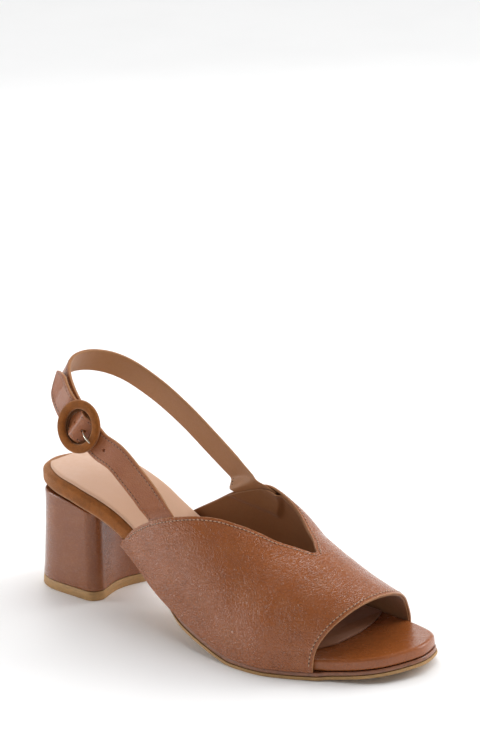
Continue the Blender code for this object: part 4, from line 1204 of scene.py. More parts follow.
def tone_and_crease_shade_group():
    """Leather colour that drifts between three tones, with painted shade in the creases, and lighter along
    worn edges.
    """
    inputs = [
        ("Vector", "Vector", None),
        ("Colour", "Color", (0.3, 0.1, 0.04, 1)),
        ("Deep", "Color", (0.1, 0.03, 0.01, 1)),
        ("Light", "Color", (0.5, 0.25, 0.12, 1)),
        ("Patch size", "Float", 0.02),
        ("Crease", "Float", 0.0),
        ("Edge", "Float", 0.0),
        ("Edge colour", "Color", (0.5, 0.27, 0.13, 1)),
    ]
    tree, given, result = group("leather tint", inputs, [("Colour", "Color"), ("Worn", "Float")])
    patches = maths(tree, "DIVIDE", 1.0, given["Patch size"])
    broad = cloud(tree, given["Vector"], patches, 4.0, 0.55)
    speck = cloud(tree, given["Vector"], 1100.0, 4.0, 0.7)
    colour = mixed(tree, ramp(tree, broad, 0.48, 0.75, 0.0, 0.20), given["Colour"], given["Light"])
    colour = mixed(tree, ramp(tree, broad, 0.50, 0.28, 0.0, 0.16), colour, given["Deep"])
    colour = mixed(tree, ramp(tree, speck, 0.48, 0.72, 0.0, 0.28), colour, given["Light"])
    colour = mixed(tree, ramp(tree, speck, 0.50, 0.28, 0.0, 0.20), colour, given["Deep"])
    # Painted shade: the creases mixed towards the deep tone
    colour = mixed(tree, maths(tree, "MULTIPLY", given["Crease"], 0.14, True), colour, given["Deep"])
    worn = maths(tree, "MULTIPLY", given["Edge"], ramp(tree, speck, 0.25, 0.60, 0.55, 1.0), True)
    tree.links.new(mixed(tree, worn, colour, given["Edge colour"]), result["Colour"])
    tree.links.new(worn, result["Worn"])
    return tree


def nap_group():
    """Suede: a short nap brushed into lighter and darker patches."""
    inputs = [
        ("Vector", "Vector", None),
        ("Colour", "Color", (0.3, 0.1, 0.02, 1)),
        ("Deep", "Color", (0.1, 0.03, 0.01, 1)),
    ]
    tree, given, result = group("suede nap", inputs, [("Colour", "Color"), ("Height", "Float")])
    brushed = add(tree, "ShaderNodeMapping", {"Vector": given["Vector"], "Scale": (0.5, 1.0, 1.4)}).outputs[0]
    fibre = cloud(tree, brushed, 3200.0, 3.0, 0.7)
    patch = cloud(tree, given["Vector"], 240.0, 3.0, 0.6)
    fibres, patches = ramp(tree, fibre, 0.35, 0.70, 0.0, 0.55), ramp(tree, patch, 0.40, 0.65, 0.0, 0.45)
    share = maths(tree, "ADD", fibres, patches)
    tree.links.new(mixed(tree, share, given["Deep"], given["Colour"]), result["Colour"])
    tree.links.new(fibre, result["Height"])
    return tree


def place_group(tree, kind, **sockets):
    made = tree.nodes.new("ShaderNodeGroup")
    made.node_tree = bpy.data.node_groups[kind]
    for key, value in sockets.items():
        socket = made.inputs[key.replace("_", " ")]
        if isinstance(value, bpy.types.NodeSocket):
            tree.links.new(value, socket)
        else:
            socket.default_value = value
    return made.outputs


def blank(name, **constants):
    """A material with its shader's constants set, its node tree and its Object coordinates."""
    made = bpy.data.materials.new(name)
    made.use_nodes = True
    shader = made.node_tree.nodes["Principled BSDF"]
    for key, value in constants.items():
        shader.inputs[key.replace("_", " ")].default_value = value
    return made, made.node_tree, shader, made.node_tree.nodes.new("ShaderNodeTexCoord").outputs["Object"]


def rgba(colour, share=1.0):
    return (colour[0] * share, colour[1] * share, colour[2] * share, 1.0)


def finish(tree, shader, height, relief, **patterns):
    """Link a material's patterns to its shader: relief from a height, and each other input by its name."""
    made = add(tree, "ShaderNodeBump", {"Strength": 1.0, "Distance": relief, "Height": height})
    tree.links.new(made.outputs["Normal"], shader.inputs["Normal"])
    for name, pattern in patterns.items():
        tree.links.new(pattern, shader.inputs[name.replace("_", " ")])


def leather(tones, name, size, creasing, relief, rough, patch, tone_share=1.0, bands=None):
    """Smooth or drawn leather with a waxed finish, its main tone multiplied by `tone_share`."""
    made, tree, shader, where = blank(name, Coat_Weight=0.15, Coat_Roughness=0.16, IOR=1.5)
    edge = add(tree, "ShaderNodeAttribute", attribute_name="edge").outputs["Fac"]
    grain = place_group(tree, "leather grain", Vector=where, Size=size, Creasing=creasing)
    tone_and_shade = place_group(
        tree, "leather tint", Vector=where, Colour=rgba(tones.leather, tone_share), Deep=rgba(tones.leather_deep),
        Light=rgba(tones.leather_light), Patch_size=patch, Crease=grain["Crease"], Edge=edge,
        Edge_colour=rgba(tones.cut_edge),
    )
    height = bands(tree, where, grain["Height"]) if bands else grain["Height"]
    gloss = ramp(tree, cloud(tree, where, 140.0, 3.0), 0.3, 0.7, rough - 0.05, rough + 0.09)
    gloss = maths(tree, "ADD", gloss, maths(tree, "MULTIPLY", tone_and_shade["Worn"], 0.25))
    finish(tree, shader, height, relief, Base_Color=tone_and_shade["Colour"], Roughness=gloss)
    return made


def heel_bands(tree, where, height):
    """Fine level creases where the heel's cover is drawn round its corners."""
    level = add(tree, "ShaderNodeMapping", {"Vector": where, "Scale": (40.0, 40.0, 900.0)}).outputs[0]
    lines = ramp(tree, cloud(tree, level, 1.0, 3.0), 0.45, 0.62)
    return maths(tree, "ADD", height, maths(tree, "MULTIPLY", lines, 0.45))


def plain_leather(name, colour, deep, light, rough, relief, front=None):
    """Matt lining or sock leather with a fine even grain, its tones as shares of the main one. `front` is
    multiplied in under the toe opening: a browner leather there, together with painted shade."""
    made, tree, shader, where = blank(name, Specular_IOR_Level=0.35, Sheen_Weight=0.15, Sheen_Roughness=0.5)
    grain = place_group(tree, "leather grain", Vector=where, Size=0.0007, Creasing=0.35)
    base = place_group(
        tree, "leather tint", Vector=where, Colour=rgba(colour), Deep=rgba(colour, deep),
        Light=rgba(colour, light), Patch_size=0.03, Crease=grain["Crease"],
    )["Colour"]
    if front:
        # Under the vamp the sock turns browner and darker: partly a browner front, partly painted shade of
        # the toe box
        along = add(tree, "ShaderNodeSeparateXYZ", {0: where}).outputs["X"]
        browner_and_shaded = mixed(tree, 0.95, base, rgba(front), "MULTIPLY")
        base = mixed(tree, ramp(tree, along, *SOCK_BROWN_AND_SHADE_RAMP), base, browner_and_shaded)
    gloss = ramp(tree, cloud(tree, where, 300.0), 0.3, 0.7, rough - 0.06, rough + 0.06)
    finish(tree, shader, grain["Height"], relief, Base_Color=base, Roughness=gloss)
    return made


def suede(name, colour, main, deep):
    """Brushed suede in two shares of a colour."""
    sheen = {"Sheen_Weight": 0.55, "Sheen_Roughness": 0.45}
    made, tree, shader, where = blank(name, Roughness=0.93, Specular_IOR_Level=0.2, **sheen)
    shader.inputs["Sheen Tint"].default_value = rgba((1.0, 0.72, 0.5))
    nap = place_group(tree, "suede nap", Vector=where, Colour=rgba(colour, main), Deep=rgba(colour, deep))
    finish(tree, shader, nap["Height"], 0.00012, Base_Color=nap["Colour"])
    return made


def edge_look(name, colour, deep, rough, coat, level_lines):
    """Cut leather edge, sole strip or tread rubber: fine level fibres over a mottled tone."""
    made, tree, shader, where = blank(name, Coat_Weight=coat, Coat_Roughness=0.2)
    fibre = add(tree, "ShaderNodeMapping", {"Vector": where, "Scale": (300.0, 300.0, 2600.0)}).outputs[0]
    fibre = cloud(tree, fibre, 1.0, 3.0)
    mottle = cloud(tree, where, 420.0, 3.0, 0.6)
    share = maths(tree, "ADD", *(ramp(tree, value, 0.35, 0.65, 0.0, 0.5) for value in (fibre, mottle)))
    tone_of = mixed(tree, share, rgba(colour, deep), rgba(colour))
    gloss = ramp(tree, mottle, 0.3, 0.7, rough - 0.05, rough + 0.08)
    height = maths(tree, "ADD", mottle, maths(tree, "MULTIPLY", fibre, level_lines))
    finish(tree, shader, height, 0.00006, Base_Color=tone_of, Roughness=gloss)
    return made


def grained(name, colour, deep, scale, spread, gloss, relief, **constants):
    """Brushed metal or twisted thread: one fine noise gives its tone, gloss and relief."""
    made, tree, shader, where = blank(name, **constants)
    fine = cloud(tree, where, scale, 2.0)
    tone_of = mixed(tree, ramp(tree, fine, *spread), rgba(colour, deep), rgba(colour))
    finish(tree, shader, fine, relief, Base_Color=tone_of, Roughness=ramp(tree, fine, 0.3, 0.7, *gloss))
    return made


def metal(name, colour):
    return grained(name, colour, 0.8, 2400.0, (0.3, 0.8), (0.18, 0.32), 0.00001, Metallic=1.0)


def thread_look(name, colour):
    sheen = {"Sheen_Weight": 0.4, "Sheen_Roughness": 0.4}
    return grained(name, colour, 0.62, 5200.0, (0.3, 0.7), (0.5, 0.75), 0.00005, **sheen)


LOOKS = {}

# Brown leathers, a row for each: material, width of a crease's cell, creasing, relief, roughness, width of
# a patch of tone
LEATHERS = {
    "upper": ("drawn_brown_leather", 0.0017, 1.0, 0.00020, 0.20, 0.012),
    "strap": ("strap_leather", 0.0011, 0.6, 0.00014, 0.42, 0.020),
    "platform": ("platform_leather", 0.0014, 0.5, 0.00012, 0.22, 0.020),
}
HEEL_LEATHER = ("heel_cover_leather", 0.0014, 0.5, 0.00012, 0.15, 0.020)
# The heel's cover takes this share of the upper leather's main tone, darker than the vamp
HEEL_TONE_SHARE = 0.72

# Linings and sock, a row for each: material, tone, shares of it in its deep and light patches, roughness,
# relief
LININGS = {
    "lining": ("tan_lining", "lining", 0.6, 1.25, 0.6, 0.00006),
    "strap_lining": ("golden_strap_lining", "strap_lining", 0.7, 1.2, 0.5, 0.00006),
    "sock": ("pale_sock_leather", "sock", 0.86, 1.08, 0.55, 0.00004),
}
# The sock's front under the toe box: a browner leather with painted shade, multiplied in between two x
# positions
SOCK_FRONT_TONE_AND_SHADE = (0.40, 0.22, 0.10)
SOCK_BROWN_AND_SHADE_RAMP = (0.100, 0.125)

# Cut edges and rubber, a row for each: material, tone, share of it between the fibres, roughness, coat,
# height of the level lines
EDGES = {
    "edge": ("cut_leather_edge", "cut_edge", 0.6, 0.6, 0.0, 0.6),
    "strip": ("sole_strip", "strip", 0.55, 0.32, 0.3, 0.3),
    "tread": ("tan_tread_rubber", "tread", 0.75, 0.6, 0.0, 0.4),
}


def make_looks(tones):
    for build in (grain_group, tone_and_crease_shade_group, nap_group):
        build()
    for key, row in LEATHERS.items():
        LOOKS[key] = leather(tones, *row)
    LOOKS["heel"] = leather(tones, *HEEL_LEATHER, tone_share=HEEL_TONE_SHARE, bands=heel_bands)
    for key, (name, tone_name, *row) in LININGS.items():
        front = SOCK_FRONT_TONE_AND_SHADE if key == "sock" else None
        LOOKS[key] = plain_leather(name, getattr(tones, tone_name), *row, front=front)
    LOOKS["suede"] = suede("tan_suede", tones.suede, 1.0, 0.55)
    # A darker copy of the suede: painted shade for the band inside the ring's window
    LOOKS["ring_back"] = suede("dark_ring_back", tones.suede, 0.35, 0.2)
    for key, (name, tone_name, *row) in EDGES.items():
        LOOKS[key] = edge_look(name, getattr(tones, tone_name), *row)
    LOOKS["metal"] = metal("pale_metal", tones.metal)
    LOOKS["thread"] = thread_look("light_thread", tones.thread)
    LOOKS["dark_thread"] = thread_look("tan_thread", tones.strap_thread)
    # Near-black look for the needle holes: painted shade
    LOOKS["needle"] = thread_look("needle_hole", [c * 0.35 for c in tones.leather_deep])


# Stitches
STITCH_FLATNESS = 0.8
# Size and sinking of the dark ball of painted shade at each needle hole, against the thread
NEEDLE_WIDTH = 1.5
NEEDLE_DEPTH = 0.55
NEEDLE_SINK = -0.00008
STITCH_TILT = (-0.16, 0.02)


def stitch_tree(dark):
    """Geometry nodes that sew a thread along curves: a small rounded stitch and, each step, a dark ball of
    painted shade at its needle hole.
    """
    tree = bpy.data.node_groups.new("stitch row", "GeometryNodeTree")
    sockets = [("Rows", "Geometry"), ("Look", "Material")]
    for label, kind in sockets + [(label, "Float") for label in ("Stitch length", "Step", "Thread")]:
        tree.interface.new_socket(name=label, in_out="INPUT", socket_type="NodeSocket" + kind)
    tree.interface.new_socket(name="Stitches", in_out="OUTPUT", socket_type="NodeSocketGeometry")
    given, result = tree.nodes.new("NodeGroupInput").outputs, tree.nodes.new("NodeGroupOutput").inputs

    def node(kind, sockets=None, **settings):
        return add(tree, "GeometryNode" + kind, sockets, **settings).outputs[0]

    def vector(x=0.0, y=0.0, z=0.0):
        return add(tree, "ShaderNodeCombineXYZ", {"X": x, "Y": y, "Z": z}).outputs[0]

    def placed(size, look, at=(0.0, 0.0, 0.0)):
        form = node("Transform", {"Geometry": ball, "Translation": at, "Scale": size})
        return node("SetMaterial", {"Geometry": form, "Material": look})

    def scaled(name, share):
        return maths(tree, "MULTIPLY", given[name], share)

    curve = node("MeshToCurve", {"Mesh": given["Rows"]})
    even = node("ResampleCurve", {"Curve": curve, "Length": given["Step"]}, mode="LENGTH")
    facing = node("InputNamedAttribute", {"Name": "facing"}, data_type="FLOAT_VECTOR")
    turn = {"Primary Axis": facing, "Secondary Axis": node("InputTangent")}
    turn = add(tree, "FunctionNodeAxesToRotation", turn, primary_axis="Z", secondary_axis="X").outputs[0]
    turn = {"Geometry": even, "Name": "turn", "Value": turn}
    held = node("StoreNamedAttribute", turn, data_type="QUATERNION", domain="POINT")
    points = node("CurveToPoints", {"Curve": held}, mode="EVALUATED")
    ball = node("MeshUVSphere", {"Segments": 8, "Rings": 5, "Radius": 0.5})
    size = vector(given["Stitch length"], given["Thread"], scaled("Thread", STITCH_FLATNESS))
    hole_size = scaled("Thread", NEEDLE_WIDTH)
    hole_size = vector(hole_size, hole_size, scaled("Thread", NEEDLE_DEPTH))
    both = tree.nodes.new("GeometryNodeJoinGeometry")
    tree.links.new(placed(size, given["Look"]), both.inputs[0])
    # The dark ball half a step on is painted shade in the needle hole
    tree.links.new(placed(hole_size, dark, vector(scaled("Step", 0.5), z=NEEDLE_SINK)), both.inputs[0])
    stored = node("InputNamedAttribute", {"Name": "turn"}, data_type="QUATERNION")
    low, high = STITCH_TILT
    tilt = add(tree, "FunctionNodeRandomValue", {2: low, 3: high, "Seed": 7}, data_type="FLOAT").outputs[1]
    turned = {0: stored, 1: vector(z=tilt)}
    turned = add(tree, "FunctionNodeRotateRotation", turned, rotation_space="LOCAL").outputs[0]
    sewn = node("InstanceOnPoints", {"Points": points, "Instance": both.outputs[0], "Rotation": turned})
    whole = node("RealizeInstances", {"Geometry": sewn})
    tree.links.new(node("SetShadeSmooth", {"Geometry": whole}), result["Stitches"])
    return tree


def sew(name, rows, sizes, look, slot):
    """Stitches along rows of (point, facing), as one plain mesh piece."""
    mesh = bpy.data.meshes.new(name)
    links, base = [], 0
    for row in rows:
        links += [(base + k, base + k + 1) for k in range(len(row) - 1)]
        base += len(row)
    points = [(float(x), float(y) - HEEL_LINE, float(z)) for row in rows for (x, y, z), _ in row]
    mesh.from_pydata(points, links, [])
    facings = np.array([facing for row in rows for _, facing in row], np.float32)
    mesh.attributes.new("facing", "FLOAT_VECTOR", "POINT").data.foreach_set("vector", facings.ravel())
    piece = bpy.data.objects.new(name, mesh)
    bpy.context.scene.collection.objects.link(piece)
    tree = bpy.data.node_groups.get("stitch row") or stitch_tree(LOOKS["needle"])
    change = piece.modifiers.new("stitches", "NODES")
    change.node_group = tree
    values = {"Look": LOOKS[look], "Step": sizes.stitch_step, "Thread": sizes.thread}
    values["Stitch length"] = sizes.stitch_length
    for item in tree.interface.items_tree:
        if item.in_out == "INPUT" and item.name in values:
            change[item.identifier] = values[item.name]
    return keep(finished(piece), slot)


# Settings
def tone(label, text, value):
    return bpy.props.FloatVectorProperty(
        name=label, description=text, subtype="COLOR", size=3, min=0.0, max=1.0, default=value
    )


def length(label, text, value):
    return bpy.props.FloatProperty(name=label, description=text, default=value, unit="LENGTH", precision=5)


def amount(label, text, value, **more):
    return bpy.props.FloatProperty(name=label, description=text, default=value, min=0.0, **more)


class SandalTones(bpy.types.PropertyGroup):
    leather: tone("Leather", "Main tone of the brown leather", (0.315, 0.088, 0.020))
    leather_deep: tone("Leather deep", "Tone in the creases and darker patches", (0.150, 0.036, 0.009))
    leather_light: tone("Leather light", "Tone of the lighter patches", (0.420, 0.165, 0.058))
    cut_edge: tone("Cut edge", "Tone of cut leather edges", (0.430, 0.190, 0.075))
    lining: tone("Lining", "Tone of the lining", (0.290, 0.125, 0.042))
    strap_lining: tone("Strap lining", "Tone of the straps' inner face", (0.360, 0.165, 0.065))
    sock: tone("Sock", "Tone of the insole sock", (0.600, 0.360, 0.235))
    suede: tone("Suede", "Tone of the suede on the ring and the rand", (0.320, 0.098, 0.016))
    strip: tone("Sole strip", "Tone of the strip above the tread", (0.300, 0.110, 0.050))
    tread: tone("Tread", "Tone of the tread rubber", (0.460, 0.260, 0.100))
    metal: tone("Metal", "Tone of the buckle's prong and bar", (0.850, 0.780, 0.640))
    thread: tone("Thread", "Tone of the stitches", (0.640, 0.400, 0.250))
    strap_thread: tone("Strap thread", "Tone of the straps' stitches", (0.420, 0.220, 0.120))


class SandalSizes(bpy.types.PropertyGroup):
    stitch_length: length("Stitch length", "Length of one stitch", 0.0015)
    stitch_step: length("Stitch step", "Distance from one stitch to the next", 0.0021)
    thread: length("Thread", "Thickness of the thread", 0.00050)
    strap_step: length("Strap step", "Spacing of the straps' cross sections", 0.0014)


class StudioSettings(bpy.types.PropertyGroup):
    overhead: amount("Overhead light", "Strength of the broad overhead light", 2.35)
    back: amount("Back light", "Power of the light behind the toe", 7.0, unit="POWER")
    side: amount("Side light", "Power of the light at the left", 5.0, unit="POWER")
    crest: amount("Crest light", "Power of the light that shows on the vamp's crest", 2.0, unit="POWER")
    room: amount("Room light", "Strength of the pale walls near the horizon", 0.85)
    ceiling: amount("Ceiling light", "Strength of the room above the walls", 0.20)
    lens: amount("Lens", "Focal length of the camera in millimetres", 150.45)


def scene_settings():
    scene = bpy.context.scene
    return scene.sandal_tones, scene.sandal_sizes, scene.sandal_studio


# Operators, one for each group of pieces and one for the stage
LAYER_GAP = 0.00002
LINING_TRIM = 0.0004
STRAP_SEAM_START = 0.002
FINE_STEP = 0.0005
HOLE_OPENING = 0.0006
HOLE_BOTTOM = 0.00015
HOLE_REACH = (-0.0014, 0.003)


class SANDAL_OT_finishes(bpy.types.Operator):
    """Make the leathers, suede, rubber, metal and thread that every piece is given"""
    bl_idname = "sandal.finishes"
    bl_label = "Finishes"

    def execute(self, context):
        make_looks(scene_settings()[0])
        return {"FINISHED"}


class SANDAL_OT_vamp(bpy.types.Operator):
    """Make the V-cut vamp: leather outside, lining inside and the stitch rows along its edges"""
    bl_idname = "sandal.vamp"
    bl_label = "Vamp"

    def execute(self, context):
        looks = [LOOKS["upper"], LOOKS["edge"]]
        keep(vamp_skin("vamp_leather", looks, 0.0, OUTER_LEATHER, relief=True), "upper_leather", "upper")
        looks = [LOOKS["edge"], LOOKS["lining"]]
        outer, inner = OUTER_LEATHER + LAYER_GAP, VAMP_WALL - LAYER_GAP
        keep(vamp_skin("vamp_lining", looks, outer, inner, LINING_TRIM), "upper_leather", "upper")
        sew("vamp_stitches", vamp_seams(), scene_settings()[1], "thread", "upper_leather")
        return {"FINISHED"}


class SANDAL_OT_straps(bpy.types.Operator):
    """Make the buckle strap with its holes and tail, the sling strap round the heel, and their stitches"""
    bl_idname = "sandal.straps"
    bl_label = "Straps"

    def execute(self, context):
        sizes = scene_settings()[1]
        looks = [LOOKS["strap"], LOOKS["strap_lining"], LOOKS["edge"]]
        prong = prong_points()
        for side, rows, turn, thick, wide, tail in (
            ("lateral", lateral_rows(), 1.0, buckle_thickness, tail_width, 0.0030),
            ("medial", medial_rows(), -1.0, bar_skive, sling_width, 0.0120),
        ):
            root, name = ROOTS[side], "strap_" + side
            stations, total = strap_stations(rows, turn, sizes.strap_step)
            piece = strap_band(name + "_leather", looks, root, stations, total, thick, wide)
            guides = [rod("prong_guide", LOOKS["edge"], prong, [PRONG_DIAMETER / 2 + GAP] * len(prong))]
            if side == "lateral":
                guides += hole_guides(rows)
            keep(cut_with(piece, guides), "strap_leather", name)
            seams = strap_seams(root, stations, total, thick, wide, STRAP_SEAM_START, tail)
            sew(name + "_stitches", seams, sizes, "dark_thread", "strap_leather")
        return {"FINISHED"}


def prong_points():
    rows = [ring_point(along, 0.0, out) for along, out in PRONG_ROUTE]
    return list(stepped_path(rows, FINE_STEP)[1][:, :3])


def hole_guides(rows):
    """Guides for two round holes of the strap, one on either side of the hole that the prong is in. Each
    narrows to a point, so that it doesn't show what is behind."""
    lengths, path = stepped_path(rows, FINE_STEP)
    middle = lengths[int(np.argmin([np.linalg.norm(row[:3] - ring_point(0.0, 0.0, 0.0)) for row in path]))]
    guides = []
    for at in (middle - PRONG_HOLE - 2 * HOLE_PITCH, middle - PRONG_HOLE + HOLE_PITCH):
        k = int(np.argmin(abs(lengths - at)))
        forward = unit(path[k + 1][:3] - path[k - 1][:3])
        outward = unit(RING_OUT - forward * (RING_OUT @ forward))
        ends = [path[k][:3] + reach * outward for reach in HOLE_REACH]
        radii = [HOLE_BOTTOM, HOLE_DIAMETER / 2 + HOLE_OPENING]
        guides.append(rod("hole_guide", LOOKS["needle"], ends, radii, 24))
    return guides


RING_SEGMENTS = 120
RING_SIDES = 28
RING_SQUARENESS = 0.75
# Section of a dark band just inside the ring's window, behind the straps: painted shade standing for the
# ring's shadowed inner wall
RING_SHADE_SECTION = [(0.00735, -0.0015), (0.0092, -0.0015), (0.0092, -0.0007), (0.00735, -0.0007)]
BAR_SIDES = 20
PRONG_TAPER = 0.25


def ring_section():
    """Rounded section of the ring's cover, a row for each corner: radius, out from the foot."""
    middle, half_width = (RING_OUTER + RING_INNER) / 4, (RING_OUTER - RING_INNER) / 4
    rows = []
    for s in range(RING_SIDES):
        cosine, sine = math.cos(2 * math.pi * s / RING_SIDES), math.sin(2 * math.pi * s / RING_SIDES)
        radius = middle + half_width * math.copysign(abs(cosine) ** RING_SQUARENESS, cosine)
        rows.append((radius, RING_THICKNESS / 2 * math.copysign(abs(sine) ** RING_SQUARENESS, sine)))
    return rows


def ring_piece(name, look, section):
    """A ring turned from a section."""
    points, faces, sides = [], [], len(section)
    for k in range(RING_SEGMENTS):
        turn = 2 * math.pi * k / RING_SEGMENTS
        cosine, sine = math.cos(turn), math.sin(turn)
        points += [ring_point(radius * cosine, radius * sine, out) for radius, out in section]
        here, ahead = k * sides, (k + 1) % RING_SEGMENTS * sides
        for s in range(sides):
            n = (s + 1) % sides
            faces.append((here + s, here + n, ahead + n, ahead + s))
    return new_piece(name, points, faces, [look])


class SANDAL_OT_buckle(bpy.types.Operator):
    """Make the suede-covered ring, a dark band of painted shade just inside its window, and its pale metal
    bar and prong
    """
    bl_idname = "sandal.buckle"
    bl_label = "Buckle"

    def execute(self, context):
        keep(ring_piece("buckle_ring_suede", LOOKS["suede"], ring_section()), "suede", "buckle_ring")
        # The dark band inside the window is painted shade
        keep(ring_piece("buckle_ring_back", LOOKS["ring_back"], RING_SHADE_SECTION), "suede", "buckle_ring")
        bar_half = RING_OUTER / 2 - BAR_END_MARGIN
        bar = [ring_point(0.0, bar_half * t, BAR_LEVEL) for t in np.linspace(-1, 1, 24)]
        bar = rod("buckle_bar_metal", LOOKS["metal"], bar, [BAR_DIAMETER / 2] * len(bar), BAR_SIDES)
        keep(bar, "pale_metal", "buckle_bar")
        prong = prong_points()
        tapers = [PRONG_TAPER * smoothstep((k / (len(prong) - 1) - 0.6) / 0.4) for k in range(len(prong))]
        radii = [PRONG_DIAMETER / 2 * (1 - taper) for taper in tapers]
        radii[-1] *= 0.35
        radii[-2] *= 0.75
        keep(rod("buckle_prong_metal", LOOKS["metal"], prong, radii), "pale_metal", "buckle_prong")
        return {"FINISHED"}


# Rings of the sock from its underside to its top, a row for each: further inset, rise
SOCK_HIGH = GAP + SOCK_THICKNESS
SOCK_RINGS = [
    (0.0, GAP),
    (0.0, SOCK_HIGH - 0.0005),
    (0.00012, SOCK_HIGH - 0.0002),
    (0.0004, SOCK_HIGH),
    (0.0016, SOCK_HIGH),
]


class SANDAL_OT_footbed(bpy.types.Operator):
    """Make the suede-wrapped rear and leather-wrapped front of the footbed, and the sock on both"""
    bl_idname = "sandal.footbed"
    bl_label = "Footbed"

    def execute(self, context):
        rings = footbed_rings(footbed_thickness, RAND_ROUND, RAND_TUCK)
        rear = sole_layer("rand_suede", LOOKS["suede"], 0.0, split_at, rings, 90)
        keep(rear, "suede", "footbed_rear")
        rings = footbed_rings(footbed_thickness, PLATFORM_ROUND, PLATFORM_TUCK)
        front = sole_layer("platform_leather_cover", LOOKS["platform"], platform_start, 1.0, rings, 150)
        keep(front, "footbed_leather", "footbed_front")
        rings = [
            (lambda s, inset=inset: sock_inset(s) + inset, lambda s, rise=rise: footbed_thickness(s) + rise)
            for inset, rise in SOCK_RINGS
        ]
        start = SOCK_HEEL_MARGIN / SOLE_LENGTH
        sock = sole_layer("sock_leather_sheet", LOOKS["sock"], start, SOCK_END_SHARE, rings, 130)
        guide = before_edge("before_sock", LOOKS["sock"], SOCK_FRONT, 0.230, 0.0, 0.030)
        keep(cut_with(sock, [guide]), "sock_leather", "insole_sock")
        return {"FINISHED"}


# Rings of the sole's two layers, a row for each: share of the waist's bevel, further inset, height
TREAD_RISE = -BALL_LEVEL
TREAD_RINGS = [
    (1.0, 0.0020, TREAD_RISE),
    (1.0, 0.0005, TREAD_RISE),
    (0.9, 0.00015, TREAD_RISE + 0.0001),
    (0.8, 0.0, TREAD_RISE + 0.0004),
    (0.6, 0.0, TREAD_RISE + 0.0010),
    (0.45, 0.0, TREAD_RISE + OUTSOLE_THICKNESS),
]
STRIP_LOW = TREAD_RISE + OUTSOLE_THICKNESS + GAP
STRIP_RINGS = [
    (0.45, 0.0014, STRIP_LOW),
    (0.45, 0.0005, STRIP_LOW),
    (0.40, 0.0003, STRIP_LOW + 0.0002),
    (0.12, 0.0003, -GAP - 0.0003),
    (0.0, 0.0005, -GAP),
    (0.0, 0.0016, -GAP),
]


class SANDAL_OT_sole(bpy.types.Operator):
    """Make the tread layer and the strip above it"""
    bl_idname = "sandal.sole"
    bl_label = "Sole"

    def execute(self, context):
        def bevelled(share, extra):
            return lambda s: sole_side(s) + share * WAIST_BEVEL * waist(s) + extra

        for name, look, rows, slot, node in (
            ("tread_layer", "tread", TREAD_RINGS, "tread_rubber", "outsole"),
            ("sole_strip_layer", "strip", STRIP_RINGS, "sole_edge", "midsole"),
        ):
            rings = [(bevelled(share, extra), rise) for share, extra, rise in rows]
            layer = sole_layer(name, LOOKS[look], OUTSOLE_START, 1.0, rings, 150)
            heights = np.linspace(-0.004, HEEL_RISE + 0.012, 30)
            levels = [[(x, y, z) for x, y in heel_ring(z, GAP)] for z in heights]
            keep(cut_with(layer, [stacked("breast_guide", LOOKS["heel"], levels)]), slot, node)
        return {"FINISHED"}


# Levels of the heel's cover and of its top piece, a row for each: share of the cover's height or height,
# how far it stands out
COVER_LEVELS = [(0.0, -0.0004), (0.003, -0.0001), (0.010, 0.0)]
COVER_LEVELS += [(0.01 + 0.97 * k / 40, 0.0) for k in range(1, 41)] + [(0.99, -0.0001), (1.0, -0.0005)]
TOP_PIECE_LEVELS = [
    (0.0, -0.0005),
    (0.0001, -0.0002),
    (0.0004, 0.0),
    (HEEL_TIP_THICKNESS - 0.0003, 0.0),
    (HEEL_TIP_THICKNESS, -0.0002),
]


class SANDAL_OT_heel(bpy.types.Operator):
    """Make the leather-covered block heel and its rubber top piece"""
    bl_idname = "sandal.heel"
    bl_label = "Heel"

    def execute(self, context):
        low = HEEL_TIP_THICKNESS + GAP
        tops = [base_height(share_of(x)) - GAP for x, y in heel_ring(HEEL_RISE)]
        rings = []
        for share, grow in COVER_LEVELS:
            levels = [low + (top - low) * share for top in tops]
            rings.append([(*heel_ring(z, grow)[k], z) for k, z in enumerate(levels)])
        keep(stacked("heel_cover", LOOKS["heel"], rings), "heel_leather", "heel_block")
        rings = [[(x, y, z) for x, y in heel_ring(z, grow)] for z, grow in TOP_PIECE_LEVELS]
        keep(stacked("heel_top_piece", LOOKS["tread"], rings), "tread_rubber", "heel_tip")
        return {"FINISHED"}


# Camera, fitted to the photograph
CAMERA_AT = (1.061618, -1.017077, 0.571259)
CAMERA_AZIMUTH = math.radians(43.123)
CAMERA_ELEVATION = math.radians(17.442)
CAMERA_ROLL = math.radians(-1.966)
SENSOR_WIDTH = 36.0

# Room: half the floor's side, heights over the horizon where the pale walls end and the ceiling starts,
# and the sun's width and direction
FLOOR_REACH = 6.0
WALLS_END = math.sin(math.radians(14))
CEILING_START = math.sin(math.radians(24))
SUN_WIDTH = math.radians(75)
SUN_FROM = (-0.15, 0.45, 1.0)

# Soft lights, a row for each: name, place, aim, width and height, its power's setting
SOFTBOXES = [
    ("behind", (0.65, 0.95, 0.55), (0.12, 0.0, 0.04), (0.7, 0.5), "back"),
    ("left", (-0.95, -0.62, 0.36), (0.05, 0.0, 0.05), (0.5, 0.5), "side"),
    ("crest", (-0.68, 0.66, 0.60), (0.10, 0.0, 0.05), (0.35, 0.45), "crest"),
]


def linked(name, data):
    made = bpy.data.objects.new(name, data)
    bpy.context.scene.collection.objects.link(made)
    return made


def studio_floor():
    mesh = bpy.data.meshes.new("studio_floor")
    corners = [(x * FLOOR_REACH, y * FLOOR_REACH, 0) for x, y in ((-1, -1), (1, -1), (1, 1), (-1, 1))]
    mesh.from_pydata(corners, [], [(0, 1, 2, 3)])
    made, tree, shader, where = blank("studio_white", Roughness=0.75, Specular_IOR_Level=0.2)
    shade = ramp(tree, cloud(tree, where, 9.0, 2.0), 0.2, 0.8, 0.93, 0.95)
    tone_of = add(tree, "ShaderNodeCombineColor", {0: shade, 1: shade, 2: shade}).outputs[0]
    tree.links.new(tone_of, shader.inputs["Base Color"])
    mesh.materials.append(made)
    linked("studio_floor", mesh)


